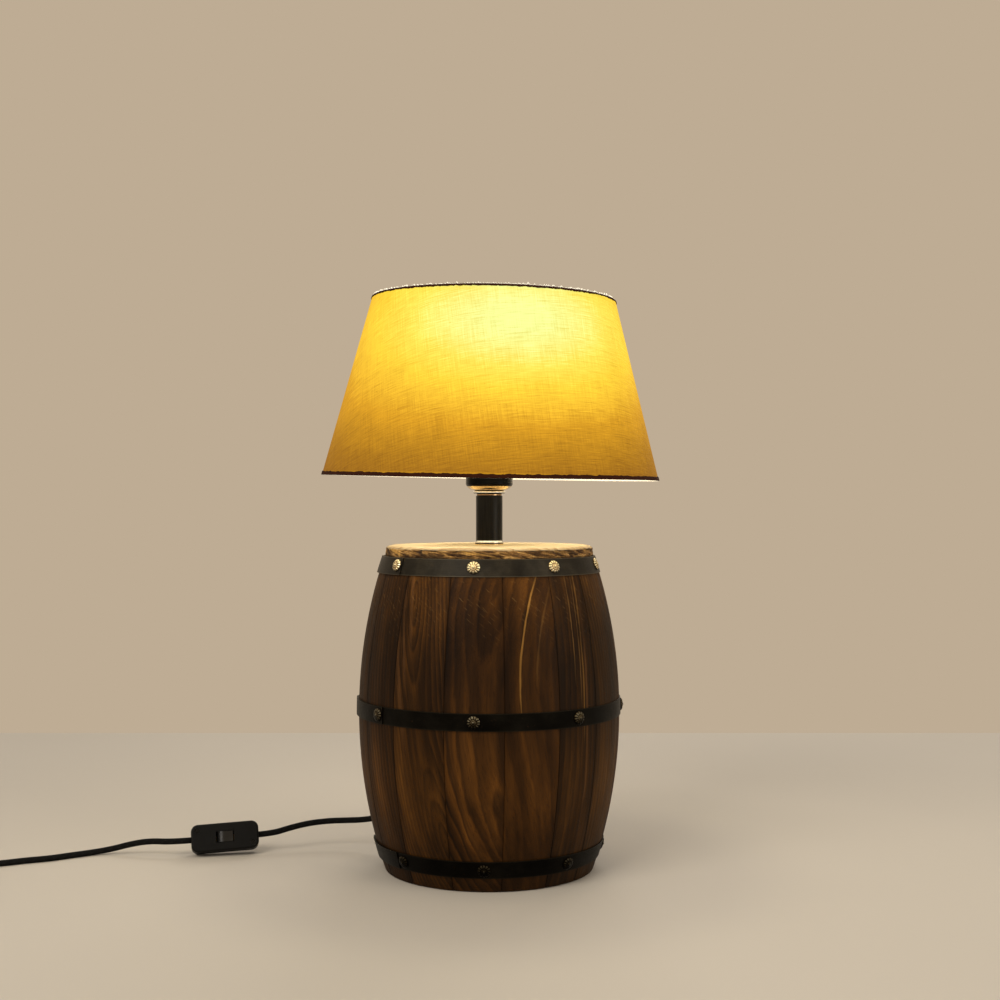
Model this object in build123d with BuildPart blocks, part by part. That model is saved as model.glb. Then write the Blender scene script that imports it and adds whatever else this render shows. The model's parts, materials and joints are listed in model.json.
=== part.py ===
from build123d import *

import os
from math import asin, atan2, ceil, cos, degrees, pi, radians, sin, sqrt, tan

# Table lamp with a barrel for a base, a tapered cloth shade and a lead with an in-line rocker switch.
# Millimetres. The origin is the centre of the base on the table, +Z is up and -Y is the front.
# An angle "from the front" is measured from -Y and grows towards +X.

# Barrel
belly_radius = 115.8
bulge_radius = 430.0
belly_height = 139.5
stave_foot = 0.8
stave_top = 276.5
stave_thickness = 12.0
stave_edge_chamfer = 0.5
first_joint_angle = -43.5
stave_shares = [25.1, 25.1, 24.0, 21.0, 25.6, 24.4, 25.3, 24.7, 25.5, 24.2, 25.3, 26.5, 21.5, 20.6, 21.2]

# Boards and the felt pad
top_board_inset = 0.8
top_board_thickness = 9.5
top_board_edge_round = 2.6
top_spigot_depth = 8.0
rebate_wall = 4.7
bottom_board_thickness = 12.0
felt_inset = 2.0
felt_thickness = 3.0
fit_gap = 0.1

# Hoops and their nails
hoop_width = 14.5
hoop_thickness = 1.0
hoop_gap = 0.05
top_hoop_height = 269.5
middle_hoop_height = 144.5
bottom_hoop_height = 20.0
lap_seam_angle = -49.6
lap_angle = 40.0
nail_head_radius = 5.5
nail_head_height = 2.6
nail_rim_height = 0.8
nail_boss_radius = 1.5
nail_shank_radius = 1.0
nail_shank_length = 9.0
nail_hole_gap = 0.05
top_nail_angles = [-104.0, -53.4, -7.3, 34.6, 74.5, 120.0, 165.0, 211.0]
middle_nail_angles = [-98.0, -52.6, -5.9, 40.2, 88.0, 132.0, 176.0, 219.0]
bottom_nail_angles = [-101.0, -46.0, -2.1, 41.8, 90.0, 133.0, 176.0, 218.0]

# Threaded rod and the neck
rod_radius = 5.0
rod_bore_radius = 3.6
rod_below_nut = 4.0
rod_in_holder = 7.0
rod_hole_gap = 0.1
nut_across_flats = 17.0
nut_thickness = 6.0
washer_radius = 11.0
washer_thickness = 1.5
collar_radius = 12.7
collar_height = 4.3
collar_band_height = 2.6
tube_radius = 11.85
tube_wall = 1.0
tube_length = 39.4
spigot_height = 3.0
neck_ring_radius = 13.7
neck_ring_band = 2.2
neck_cove_radius = 11.2
neck_cove_height = 2.1
neck_ring_height = 5.3

# Lampholder
cup_radius = 21.0
cup_floor_radius = 12.4
cup_round_height = 5.0
cup_height = 17.0
cup_wall = 1.0
shoulder_radius = 22.5
shoulder_thickness = 2.5
shell_radius = 20.0
shell_wall = 1.6
shell_height = 31.5
shell_spigot = 5.0
thread_depth = 0.7
thread_pitch = 3.5
insert_flange_thickness = 4.0
insert_wall_gap = 0.4
insert_height = 29.0
insert_floor = 3.0
insert_cavity_radius = 13.9
wire_well_radius = 8.0
foot_contact_width = 6.0
foot_contact_thickness = 0.6
foot_contact_rise = 0.7
side_contact_width = 5.0
side_contact_thickness = 0.3
side_contact_height = 9.0

# Clearance between pieces on different bodies
moving_gap = 0.35

# Shade clamp ring
clamp_ring_radius = 28.5
clamp_ring_height = 9.0
clamp_ring_lobes = 24
clamp_ring_lobe_depth = 0.8

# Bulb
bulb_radius = 30.0
bulb_length = 108.0
bulb_glass_wall = 0.8
bulb_neck_radius = 12.4
cap_radius = 13.1
cap_root_radius = 12.2
cap_length = 25.0
cap_thread_pitch = 3.6
cap_threads = 5
cap_wall = 0.5
foot_insulator_height = 2.6
foot_radius = 4.8

# Shade
shade_bottom_radius = 149.5
shade_top_radius = 108.2
shade_height = 158.3
shade_foot_height = 345.8
shade_offset = 1.1
shade_lean = 1.2
shade_lean_azimuth = -18.0
cloth_thickness = 0.8
lining_thickness = 0.5
shade_layer_gap = 0.1
frame_wire_radius = 1.5
binding_height = 3.4
binding_thickness = 0.6
binding_inner_height = 2.0
hub_hole_gap = 0.6
hub_radius = 27.5
hub_thickness = 1.5
shade_arm_radius = 1.5
shade_arm_start = 24.4
shade_arm_azimuths = [90.0, 210.0, 330.0]

# Gland where the lead leaves the barrel
exit_azimuth = 150.0
exit_height = 34.0
gland_flange_radius = 6.2
gland_flange_thickness = 1.6
gland_sleeve_radius = 4.6
gland_tip_radius = 3.7
relief_length = 20.0
gland_nut_radius = 7.5
gland_nut_thickness = 3.0
gland_thread_past_nut = 1.5

# Lead
cord_radius = 2.75
cord_hole_gap = 0.1
inner_turn_low = 20.0
inner_turn_height = 110.0
inner_bend_share = 0.45

# Switch on the lead
switch_length = 61.0
switch_height = 25.0
switch_depth = 17.0
switch_corner_radius = 6.5
switch_edge_round = 1.8
switch_wall = 1.8
switch_back_edge = (-244.6, 45.2)
switch_heading = 11.4
switch_backward_lean = 20.0
switch_rise = 2.4
switch_lift = 0.44
switch_split = -0.5
cord_in_switch = 6.0
rocker_radius = 7.7
rocker_width = 9.4
rocker_swing = 16.0
rocker_end_angle = 30.0
rocker_waist_height = 2.9
rocker_belly_depth = 2.2
rocker_pivot_depth = 3.3
trunnion_radius = 1.2
trunnion_length = 1.6
trunnion_gap = 0.05
lug_thickness = 2.0
lug_depth = 5.4
lug_length = 6.0
switch_screw_head_radius = 2.6
switch_screw_head_height = 1.4
switch_screw_head_recess = 1.8
switch_screw_reach = 13.0
switch_screw_radius = 1.3
screw_slot_width = 0.8
screw_slot_depth = 0.7
screw_slot_angle = -40.0
switch_screw_places = [(25.0, -7.0), (-25.0, 7.0)]
screw_post_radius = 3.0
contact_length = 9.0
contact_width = 5.0
contact_thickness = 0.8
contact_spread = 8.0
contact_post_height = 3.2

# Route of the lead between the gland and the switch, after the gland's own end
lamp_side_lead_out = 14.0
lamp_side_route = [
    (-134.5, 70.5, 24.6),
    (-152.0, 70.0, 24.2),
    (-170.5, 65.0, 23.0),
    (-187.5, 58.0, 20.0),
]
lamp_side_lead_in = 13.0

# Route of the lead between the switch and the coil, after the switch's own end
free_lead_out = 17.0
free_route = [
    (-312.0, 36.5, 13.0),
    (-330.0, 39.5, 9.5),
    (-346.0, 41.0, 5.0),
    (-362.0, 37.0, 2.75),
    (-380.0, 25.0, 2.75),
    (-397.0, 12.5, 2.75),
    (-417.0, 5.0, 2.75),
    (-437.0, -7.0, 2.75),
]

free_lead_in = 18.0

# Coil of the length that is put away, its tie, and the plug
coil_centre = (-482.0, -56.0)
coil_lift = 0.8
coil_outer_radius = 41.5
coil_pitch = 6.2
coil_layer_rise = 6.2
coil_turns_in = 3.25
coil_turns_out = 3.5
coil_climb_dip = 1.6
coil_tail_swell = 1.5
coil_tail_length = 30.0
plug_axis_x = -527.0
tie_azimuth = -45.0
tie_width = 10.0
tie_thickness = 0.6
tie_gap = 0.15
plug_length = 36.0
plug_width = 35.0
plug_nose_width = 30.0
plug_thickness = 13.7
plug_edge_round = 3.0
plug_relief_length = 22.0
plug_relief_root = 5.2
plug_relief_tip = 3.6
pin_radius = 2.0
pin_root_radius = 1.7
pin_length = 19.0
pin_spacing = 18.6
pin_root_depth = 8.0

os.makedirs("parts", exist_ok=True)


# Helpers


def barrel_radius(height):
    """Outer radius of the staves at a height."""
    return belly_radius - bulge_radius + sqrt(bulge_radius**2 - (height - belly_height) ** 2)


def barrel_slope(height):
    """Angle in degrees by which the staves' outward normal tips up at a height."""
    return degrees(asin((height - belly_height) / bulge_radius))


def azimuth_from_front(angle):
    """Azimuth from +X of an angle that is measured from the front."""
    return angle - 90


def direction(azimuth, elevation=0.0):
    """Unit vector at an azimuth and an elevation in degrees."""
    level = cos(radians(elevation))
    return Vector(
        level * cos(radians(azimuth)), level * sin(radians(azimuth)), sin(radians(elevation))
    )


def upright_plane(azimuth):
    """Plane through the Z axis whose X runs outwards at an azimuth and whose Y is +Z."""
    return Plane(origin=(0, 0, 0), x_dir=direction(azimuth), z_dir=direction(azimuth - 90))


def barrel_surface_plane(azimuth, height, lift=0.0):
    """Plane that lies on the staves at an azimuth and a height, facing outwards."""
    normal = direction(azimuth, barrel_slope(height))
    foot = direction(azimuth) * barrel_radius(height) + Vector(0, 0, height)
    return Plane(origin=foot + normal * lift, z_dir=normal)


def turned(plane, angle):
    """The plane turned by an angle about its own Z axis."""
    return Plane(
        origin=plane.origin,
        x_dir=plane.x_dir * cos(radians(angle)) + plane.y_dir * sin(radians(angle)),
        z_dir=plane.z_dir,
    )


def bend_radii(points, share=0.45):
    """Radius of the arc at each corner of a route, as large as its two runs allow."""
    radii = []
    for before, corner, after in zip(points, points[1:], points[2:]):
        run_in = Vector(corner) - Vector(before)
        run_out = Vector(after) - Vector(corner)
        half_turn = radians(run_in.get_angle(run_out)) / 2
        radii.append(share * min(run_in.length, run_out.length) / tan(half_turn))
    return radii


def report_tube(name, part, path):
    """Print how a tube's volume compares with its section times its length, and return the length."""
    length = sum(edge.length for edge in path.edges())
    share = part.volume / (pi * cord_radius**2 * length)
    print(f"{name}: length {length:.1f}, volume over section times length {share:.5f}")
    return length


def draw_band(low, high, inner_lift, outer_lift):
    """Outline of a hoop's section between two heights and two distances from the staves."""
    middle = (low + high) / 2
    inner = [(barrel_radius(z) + inner_lift, z) for z in (low, middle, high)]
    outer = [(barrel_radius(z) + outer_lift, z) for z in (low, middle, high)]
    ThreePointArc(*inner)
    Line(inner[-1], outer[-1])
    ThreePointArc(*reversed(outer))
    Line(outer[0], inner[0])


# Places that several pieces share
top_board_radius = barrel_radius(stave_top) - top_board_inset
rebate_radius = barrel_radius(stave_foot) - rebate_wall
bottom_board_radius = rebate_radius - fit_gap
felt_radius = bottom_board_radius - felt_inset
board_foot = felt_thickness
board_shoulder = board_foot + bottom_board_thickness
top_face = stave_top + top_board_thickness
spigot_foot = stave_top - top_spigot_depth
washer_foot = spigot_foot - washer_thickness
nut_foot = washer_foot - nut_thickness
rod_foot = nut_foot - rod_below_nut
tube_foot = top_face + collar_height
tube_top = tube_foot + tube_length
cup_foot = tube_top + neck_ring_height
rod_top = cup_foot + rod_in_holder
cup_top = cup_foot + cup_height
shoulder_top = cup_top + shoulder_thickness
shell_top = shoulder_top + shell_height
shell_foot = cup_top - shell_spigot
insert_foot = shell_foot - insert_flange_thickness
cavity_floor = shell_foot + insert_floor
foot_contact_top = cavity_floor + foot_contact_thickness + foot_contact_rise
hub_foot = shoulder_top + moving_gap
hub_top = hub_foot + hub_thickness
clamp_ring_foot = hub_top + moving_gap
bulb_foot = foot_contact_top + moving_gap
hoops = {
    "top": (top_hoop_height, top_nail_angles),
    "middle": (middle_hoop_height, middle_nail_angles),
    "bottom": (bottom_hoop_height, bottom_nail_angles),
}
exit_plane = barrel_surface_plane(exit_azimuth, exit_height)
exit_axis = exit_plane.z_dir
relief_end = exit_plane.origin + exit_axis * relief_length


def nail_planes(height, angles):
    """Seats of a hoop's nails, on the strip or on its lap."""
    planes = []
    for angle in angles:
        on_lap = lap_seam_angle - lap_angle < angle < lap_seam_angle
        lift = hoop_gap + hoop_thickness * (2 if on_lap else 1)
        planes.append(barrel_surface_plane(azimuth_from_front(angle), height, lift))
    return planes


all_nail_planes = [plane for height, angles in hoops.values() for plane in nail_planes(height, angles)]
all_nail_locations = [plane.location for plane in all_nail_planes]
nail_reach = nail_shank_length + 0.5

# Staves. Each is a sector of the barrel's wall, with a rebate for the bottom board.
share_sum = sum(stave_shares)
stave_start = first_joint_angle
for number, share in enumerate(stave_shares, start=1):
    stave_angle = 360 * share / share_sum
    with BuildPart() as stave:
        with BuildSketch(upright_plane(azimuth_from_front(stave_start))):
            with BuildLine():
                outer_arc = ThreePointArc(
                    (barrel_radius(stave_foot), stave_foot),
                    (belly_radius, belly_height),
                    (barrel_radius(stave_top), stave_top),
                )
                inner_arc = ThreePointArc(
                    (barrel_radius(stave_top) - stave_thickness, stave_top),
                    (belly_radius - stave_thickness, belly_height),
                    (barrel_radius(board_shoulder) - stave_thickness, board_shoulder),
                )
                Line(outer_arc @ 1, inner_arc @ 0)
                Polyline(
                    inner_arc @ 1,
                    (rebate_radius, board_shoulder),
                    (rebate_radius, stave_foot),
                    outer_arc @ 0,
                )
            make_face()
        revolve(axis=Axis.Z, revolution_arc=stave_angle)
        outer_edges = stave.edges().group_by(SortBy.LENGTH)[-1]
        chamfer(outer_edges, stave_edge_chamfer)
        with Locations(*all_nail_locations):
            Hole(radius=nail_shank_radius + nail_hole_gap, depth=nail_reach)
        with Locations(exit_plane.location):
            Hole(radius=gland_sleeve_radius + fit_gap, depth=stave_thickness * 2)
    stave.part.label = f"stave_{number:02d}"
    export_step(stave.part, f"parts/stave_{number:02d}.step")
    stave_start += stave_angle

# Top board: a disc on the stave ends, with a spigot between them and a worn upper edge
with BuildPart() as top_board:
    with BuildSketch(Plane.XY.offset(stave_top)):
        Circle(top_board_radius)
    extrude(amount=top_board_thickness)
    fillet(top_board.edges().sort_by(Axis.Z)[-1], top_board_edge_round)
    with BuildSketch(Plane.XY.offset(spigot_foot)):
        Circle(barrel_radius(stave_top) - stave_thickness - fit_gap)
    extrude(amount=top_spigot_depth)
    with Locations((0, 0, top_face)):
        Hole(radius=rod_radius + rod_hole_gap)
top_board.part.label = "top_board"
export_step(top_board.part, "parts/top_board.step")

# Bottom board, let into the rebate
with BuildPart() as bottom_board:
    with BuildSketch(Plane.XY.offset(board_foot)):
        Circle(bottom_board_radius)
    extrude(amount=bottom_board_thickness)
bottom_board.part.label = "bottom_board"
export_step(bottom_board.part, "parts/bottom_board.step")

# Felt pad that the lamp stands on
with BuildPart() as base_felt:
    with BuildSketch(Plane.XY):
        Circle(felt_radius)
    extrude(amount=felt_thickness)
base_felt.part.label = "base_felt"
export_step(base_felt.part, "parts/base_felt.step")

# One nail, standing on the XY plane: an embossed round head over a plain shank
with BuildPart() as nail:
    with BuildSketch(Plane.XZ):
        with BuildLine():
            Polyline(
                (nail_boss_radius * 0.5, nail_head_height),
                (0, nail_head_height),
                (0, -nail_shank_length),
                (nail_shank_radius, -nail_shank_length),
                (nail_shank_radius, 0),
                (nail_head_radius, 0),
                (nail_head_radius, nail_rim_height / 2),
            )
            crown = ThreePointArc(
                (nail_head_radius, nail_rim_height / 2),
                (nail_head_radius * 0.72, nail_head_height * 0.62),
                (nail_boss_radius * 1.4, nail_head_height * 0.76),
            )
            Line(crown @ 1, (nail_boss_radius, nail_head_height * 0.8))
            ThreePointArc(
                (nail_boss_radius, nail_head_height * 0.8),
                (nail_boss_radius * 0.85, nail_head_height * 0.94),
                (nail_boss_radius * 0.5, nail_head_height),
            )
        make_face()
    revolve(axis=Axis.Z)

# Hoops: a strip round the staves with a second layer at the lap, and the nails through it
for place, (height, nail_angles) in hoops.items():
    low = height - hoop_width / 2
    high = height + hoop_width / 2
    seats = nail_planes(height, nail_angles)
    with BuildPart() as hoop:
        with BuildSketch(Plane.XZ):
            with BuildLine():
                draw_band(low, high, hoop_gap, hoop_gap + hoop_thickness)
            make_face()
        revolve(axis=Axis.Z)
        with BuildSketch(upright_plane(azimuth_from_front(lap_seam_angle - lap_angle))):
            with BuildLine():
                draw_band(low, high, hoop_gap + hoop_thickness, hoop_gap + 2 * hoop_thickness)
            make_face()
        revolve(axis=Axis.Z, revolution_arc=lap_angle)
        with Locations(*[plane.location for plane in seats]):
            Hole(radius=nail_shank_radius + nail_hole_gap, depth=nail_reach)
    hoop.part.label = f"hoop_{place}"
    export_step(hoop.part, f"parts/hoop_{place}.step")

    with BuildPart() as hoop_nails:
        with Locations(*[plane.location for plane in seats]):
            add(nail.part)
    hoop_nails.part.label = f"hoop_nails_{place}"
    export_step(hoop_nails.part, f"parts/hoop_nails_{place}.step")

# Hollow threaded rod that clamps the neck to the top board
with BuildPart() as threaded_rod:
    with BuildSketch(Plane.XY.offset(rod_foot)):
        Circle(rod_radius)
        Circle(rod_bore_radius, mode=Mode.SUBTRACT)
    extrude(amount=rod_top - rod_foot)
threaded_rod.part.label = "threaded_rod"
export_step(threaded_rod.part, "parts/threaded_rod.step")

with BuildPart() as rod_nut:
    with BuildSketch(Plane.XY.offset(nut_foot)):
        RegularPolygon(radius=nut_across_flats / 2, side_count=6, major_radius=False)
        Circle(rod_radius + fit_gap, mode=Mode.SUBTRACT)
    extrude(amount=nut_thickness)
rod_nut.part.label = "rod_nut"
export_step(rod_nut.part, "parts/rod_nut.step")

with BuildPart() as rod_washer:
    with BuildSketch(Plane.XY.offset(washer_foot)):
        Circle(washer_radius)
        Circle(rod_radius + rod_hole_gap, mode=Mode.SUBTRACT)
    extrude(amount=washer_thickness)
rod_washer.part.label = "rod_washer"
export_step(rod_washer.part, "parts/rod_washer.step")

# Neck: base collar, tube and upper ring, each located by a spigot inside the tube
tube_bore_radius = tube_radius - tube_wall
spigot_radius = tube_bore_radius - fit_gap
rod_hole_radius = rod_radius + rod_hole_gap
with BuildPart() as neck_collar:
    with BuildSketch(Plane.XZ):
        with BuildLine():
            Polyline(
                (rod_hole_radius, top_face),
                (collar_radius, top_face),
                (collar_radius, top_face + collar_band_height),
                (tube_radius, tube_foot),
                (spigot_radius, tube_foot),
                (spigot_radius, tube_foot + spigot_height),
                (rod_hole_radius, tube_foot + spigot_height),
                close=True,
            )
        make_face()
    revolve(axis=Axis.Z)
neck_collar.part.label = "neck_collar"
export_step(neck_collar.part, "parts/neck_collar.step")

with BuildPart() as neck_tube:
    with BuildSketch(Plane.XY.offset(tube_foot)):
        Circle(tube_radius)
        Circle(tube_bore_radius, mode=Mode.SUBTRACT)
    extrude(amount=tube_length)
neck_tube.part.label = "neck_tube"
export_step(neck_tube.part, "parts/neck_tube.step")

band_foot = tube_top + neck_cove_height
band_top = band_foot + neck_ring_band
with BuildPart() as neck_ring:
    with BuildSketch(Plane.XZ):
        with BuildLine():
            Polyline(
                (neck_cove_radius, band_foot),
                (neck_cove_radius, tube_top),
                (spigot_radius, tube_top),
                (spigot_radius, tube_top - spigot_height),
                (rod_hole_radius, tube_top - spigot_height),
                (rod_hole_radius, cup_foot),
                (cup_floor_radius, cup_foot),
                (neck_ring_radius, band_top),
            )
            ThreePointArc(
                (neck_ring_radius, band_top),
                (neck_ring_radius + neck_ring_band / 4, (band_foot + band_top) / 2),
                (neck_ring_radius, band_foot),
            )
            Line((neck_ring_radius, band_foot), (neck_cove_radius, band_foot))
        make_face()
    revolve(axis=Axis.Z)
neck_ring.part.label = "neck_ring"
export_step(neck_ring.part, "parts/neck_ring.step")

# Lampholder cup: a thin bowl with a rounded floor
cup_corner_height = cup_foot + cup_round_height
corner_middle = (
    cup_floor_radius + (cup_radius - cup_floor_radius) * 0.72,
    cup_foot + cup_round_height * 0.34,
)
with BuildPart() as holder_cup:
    with BuildSketch(Plane.XZ):
        with BuildLine():
            Line((rod_hole_radius, cup_foot), (cup_floor_radius, cup_foot))
            ThreePointArc((cup_floor_radius, cup_foot), corner_middle, (cup_radius, cup_corner_height))
            Polyline(
                (cup_radius, cup_corner_height),
                (cup_radius, cup_top),
                (cup_radius - cup_wall, cup_top),
                (cup_radius - cup_wall, cup_corner_height),
            )
            ThreePointArc(
                (cup_radius - cup_wall, cup_corner_height),
                (corner_middle[0] - cup_wall * 0.5, corner_middle[1] + cup_wall * 0.85),
                (cup_floor_radius, cup_foot + cup_wall),
            )
            Polyline(
                (cup_floor_radius, cup_foot + cup_wall),
                (rod_hole_radius, cup_foot + cup_wall),
                (rod_hole_radius, cup_foot),
            )
        make_face()
    revolve(axis=Axis.Z)
holder_cup.part.label = "holder_cup"
export_step(holder_cup.part, "parts/holder_cup.step")

# Lampholder shell: a spigot in the cup, a shoulder for the shade's hub and a threaded skirt
shell_bore_radius = shell_radius - shell_wall
thread_count = int((shell_height - thread_pitch) // thread_pitch)
with BuildPart() as holder_shell:
    with BuildSketch(Plane.XY.offset(shell_foot)):
        Circle(cup_radius - cup_wall - fit_gap)
    extrude(amount=shell_spigot)
    with BuildSketch(Plane.XY.offset(cup_top)):
        Circle(shoulder_radius)
    extrude(amount=shoulder_thickness)
    with BuildSketch(Plane.XY.offset(shoulder_top)):
        Circle(shell_radius - thread_depth)
    extrude(amount=shell_height)
    for turn in range(thread_count):
        crest = shoulder_top + thread_pitch * (turn + 1)
        with BuildSketch(Plane.XZ):
            with BuildLine():
                Polyline(
                    (shell_radius - 2 * thread_depth, crest - thread_pitch * 0.4),
                    (shell_radius - thread_depth, crest - thread_pitch * 0.4),
                    (shell_radius, crest),
                    (shell_radius - thread_depth, crest + thread_pitch * 0.4),
                    (shell_radius - 2 * thread_depth, crest + thread_pitch * 0.4),
                    close=True,
                )
            make_face()
        revolve(axis=Axis.Z)
    with Locations((0, 0, shell_top)):
        Hole(radius=shell_bore_radius)
holder_shell.part.label = "holder_shell"
export_step(holder_shell.part, "parts/holder_shell.step")

# Lampholder insert: a flange under the shell's spigot, a wire well below and the cap's cavity above
insert_top = insert_foot + insert_height
with BuildPart() as holder_insert:
    with BuildSketch(Plane.XY.offset(insert_foot)):
        Circle(cup_radius - cup_wall - fit_gap)
    extrude(amount=insert_flange_thickness)
    with BuildSketch(Plane.XY.offset(shell_foot)):
        Circle(shell_bore_radius - insert_wall_gap)
    extrude(amount=insert_top - shell_foot)
    with BuildSketch(Plane.XY.offset(cavity_floor)):
        Circle(insert_cavity_radius)
    extrude(amount=insert_top - cavity_floor, mode=Mode.SUBTRACT)
    with BuildSketch(Plane.XY.offset(insert_foot)):
        Circle(wire_well_radius)
    extrude(amount=insert_flange_thickness, mode=Mode.SUBTRACT)
holder_insert.part.label = "holder_insert"
export_step(holder_insert.part, "parts/holder_insert.step")

# Lampholder contacts: a sprung tongue under the bulb's foot and a strip beside its cap
with BuildPart() as holder_contacts:
    with BuildSketch(Plane.XY.offset(cavity_floor)):
        SlotOverall(foot_contact_width * 3, foot_contact_width)
    extrude(amount=foot_contact_thickness)
    with BuildSketch(Plane.XY.offset(cavity_floor + foot_contact_thickness)):
        Circle(foot_contact_width / 2 - fit_gap)
    extrude(amount=foot_contact_rise)
    with BuildSketch(Plane.XY.offset(cavity_floor)):
        Circle(insert_cavity_radius - fit_gap)
        Circle(insert_cavity_radius - fit_gap - side_contact_thickness, mode=Mode.SUBTRACT)
        Rectangle(
            side_contact_width,
            insert_cavity_radius,
            align=(Align.CENTER, Align.MIN),
            mode=Mode.INTERSECT,
        )
    extrude(amount=side_contact_height)
holder_contacts.part.label = "holder_contacts"
export_step(holder_contacts.part, "parts/holder_contacts.step")

# Clamp ring: a lobed nut on the threaded skirt, above the shade's hub
with BuildPart() as shade_clamp_ring:
    with BuildSketch(Plane.XY.offset(clamp_ring_foot)):
        Circle(clamp_ring_radius)
        with PolarLocations(clamp_ring_radius + clamp_ring_lobe_depth, clamp_ring_lobes):
            Circle(clamp_ring_lobe_depth * 2, mode=Mode.SUBTRACT)
        Circle(shell_radius + moving_gap, mode=Mode.SUBTRACT)
    extrude(amount=clamp_ring_height)
shade_clamp_ring.part.label = "shade_clamp_ring"
export_step(shade_clamp_ring.part, "parts/shade_clamp_ring.step")

# Bulb: glass envelope, threaded cap and foot contact
bulb_top = bulb_foot + bulb_length
bulb_centre = bulb_top - bulb_radius
cap_foot = bulb_foot + foot_insulator_height
cap_top = cap_foot + cap_length
glass_foot = cap_top - 4.0
shoulder_angle = -40.0


def draw_bulb(inset):
    """Outline of the glass from its top to its open foot, moved inwards by an inset."""
    globe = CenterArc((0, bulb_centre), bulb_radius - inset, 90, shoulder_angle - 90)
    flank = Spline(
        globe @ 1,
        (bulb_neck_radius - inset, cap_top + 1.0),
        tangents=[globe % 1, (0, -1)],
    )
    Line(flank @ 1, (bulb_neck_radius - inset, glass_foot))
    Line((bulb_neck_radius - inset, glass_foot), (0, glass_foot))
    Line((0, glass_foot), globe @ 0)


with BuildPart() as bulb_glass:
    with BuildSketch(Plane.XZ):
        with BuildLine():
            draw_bulb(0)
        make_face()
    revolve(axis=Axis.Z)
    with BuildSketch(Plane.XZ):
        with BuildLine():
            draw_bulb(bulb_glass_wall)
        make_face()
    revolve(axis=Axis.Z, mode=Mode.SUBTRACT)
bulb_glass.part.label = "bulb_glass"
export_step(bulb_glass.part, "parts/bulb_glass.step")

cap_bore_radius = bulb_neck_radius + fit_gap
thread_start = cap_foot + cap_thread_pitch / 2
with BuildPart() as bulb_cap:
    with BuildSketch(Plane.XZ):
        with BuildLine():
            Line((0, cap_foot), (cap_root_radius - 2, cap_foot))
            Line((cap_root_radius - 2, cap_foot), (cap_root_radius, thread_start))
            for turn in range(cap_threads):
                root = thread_start + turn * cap_thread_pitch
                ThreePointArc(
                    (cap_root_radius, root),
                    (cap_radius, root + cap_thread_pitch / 2),
                    (cap_root_radius, root + cap_thread_pitch),
                )
            thread_end = thread_start + cap_threads * cap_thread_pitch
            Polyline(
                (cap_root_radius, thread_end),
                (cap_radius, thread_end + cap_thread_pitch / 4),
                (cap_radius, cap_top),
                (cap_bore_radius, cap_top),
                (cap_bore_radius, glass_foot - fit_gap),
                (cap_root_radius - 2 * cap_wall, glass_foot - fit_gap),
                (cap_root_radius - 2 * cap_wall, thread_start),
                (0, thread_start),
                (0, cap_foot),
            )
        make_face()
    revolve(axis=Axis.Z)
bulb_cap.part.label = "bulb_cap"
export_step(bulb_cap.part, "parts/bulb_cap.step")

with BuildPart() as bulb_foot_contact:
    with BuildSketch(Plane.XY.offset(bulb_foot)):
        Circle(foot_radius)
    with BuildSketch(Plane.XY.offset(cap_foot)):
        Circle(cap_root_radius - 2)
    loft()
    fillet(bulb_foot_contact.edges().sort_by(Axis.Z)[0], foot_insulator_height / 4)
bulb_foot_contact.part.label = "bulb_foot_contact"
export_step(bulb_foot_contact.part, "parts/bulb_foot_contact.step")

# Shade: everything below stands on a plane that leans with the shade
shade_plane = Plane(
    origin=(shade_offset, 0, shade_foot_height),
    x_dir=direction(90 + shade_lean_azimuth).cross(direction(shade_lean_azimuth, 90 - shade_lean)),
    z_dir=direction(shade_lean_azimuth, 90 - shade_lean),
)
shade_axis = Axis(shade_plane.origin, shade_plane.z_dir)
shade_section = Plane(
    origin=shade_plane.origin, x_dir=shade_plane.x_dir, z_dir=-shade_plane.y_dir
)
shade_taper = (shade_bottom_radius - shade_top_radius) / shade_height


def shade_radius(height):
    """Outer radius of the cloth at a height above the shade's foot."""
    return shade_bottom_radius - shade_taper * height


def draw_wall(low, high, outer_inset, inner_inset):
    """Outline of a conical layer of the shade between two heights."""
    Polyline(
        (shade_radius(low) - outer_inset, low),
        (shade_radius(high) - outer_inset, high),
        (shade_radius(high) - inner_inset, high),
        (shade_radius(low) - inner_inset, low),
        close=True,
    )


lining_inset = cloth_thickness + shade_layer_gap
frame_inset = lining_inset + lining_thickness + shade_layer_gap
cloth_low = binding_thickness + shade_layer_gap
cloth_high = shade_height - cloth_low
with BuildPart() as shade_cloth:
    with BuildSketch(shade_section):
        with BuildLine():
            draw_wall(cloth_low, cloth_high, 0, cloth_thickness)
        make_face()
    revolve(axis=shade_axis)
shade_cloth.part.label = "shade_cloth"
export_step(shade_cloth.part, "parts/shade_cloth.step")

with BuildPart() as shade_lining:
    with BuildSketch(shade_section):
        with BuildLine():
            draw_wall(cloth_low, cloth_high, lining_inset, lining_inset + lining_thickness)
        make_face()
    revolve(axis=shade_axis)
shade_lining.part.label = "shade_lining"
export_step(shade_lining.part, "parts/shade_lining.step")

# Bindings: a tape folded over each rim, outside, round the edge and inside
tape_outer = -(binding_thickness + shade_layer_gap)
tape_inner = frame_inset + binding_thickness


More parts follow.
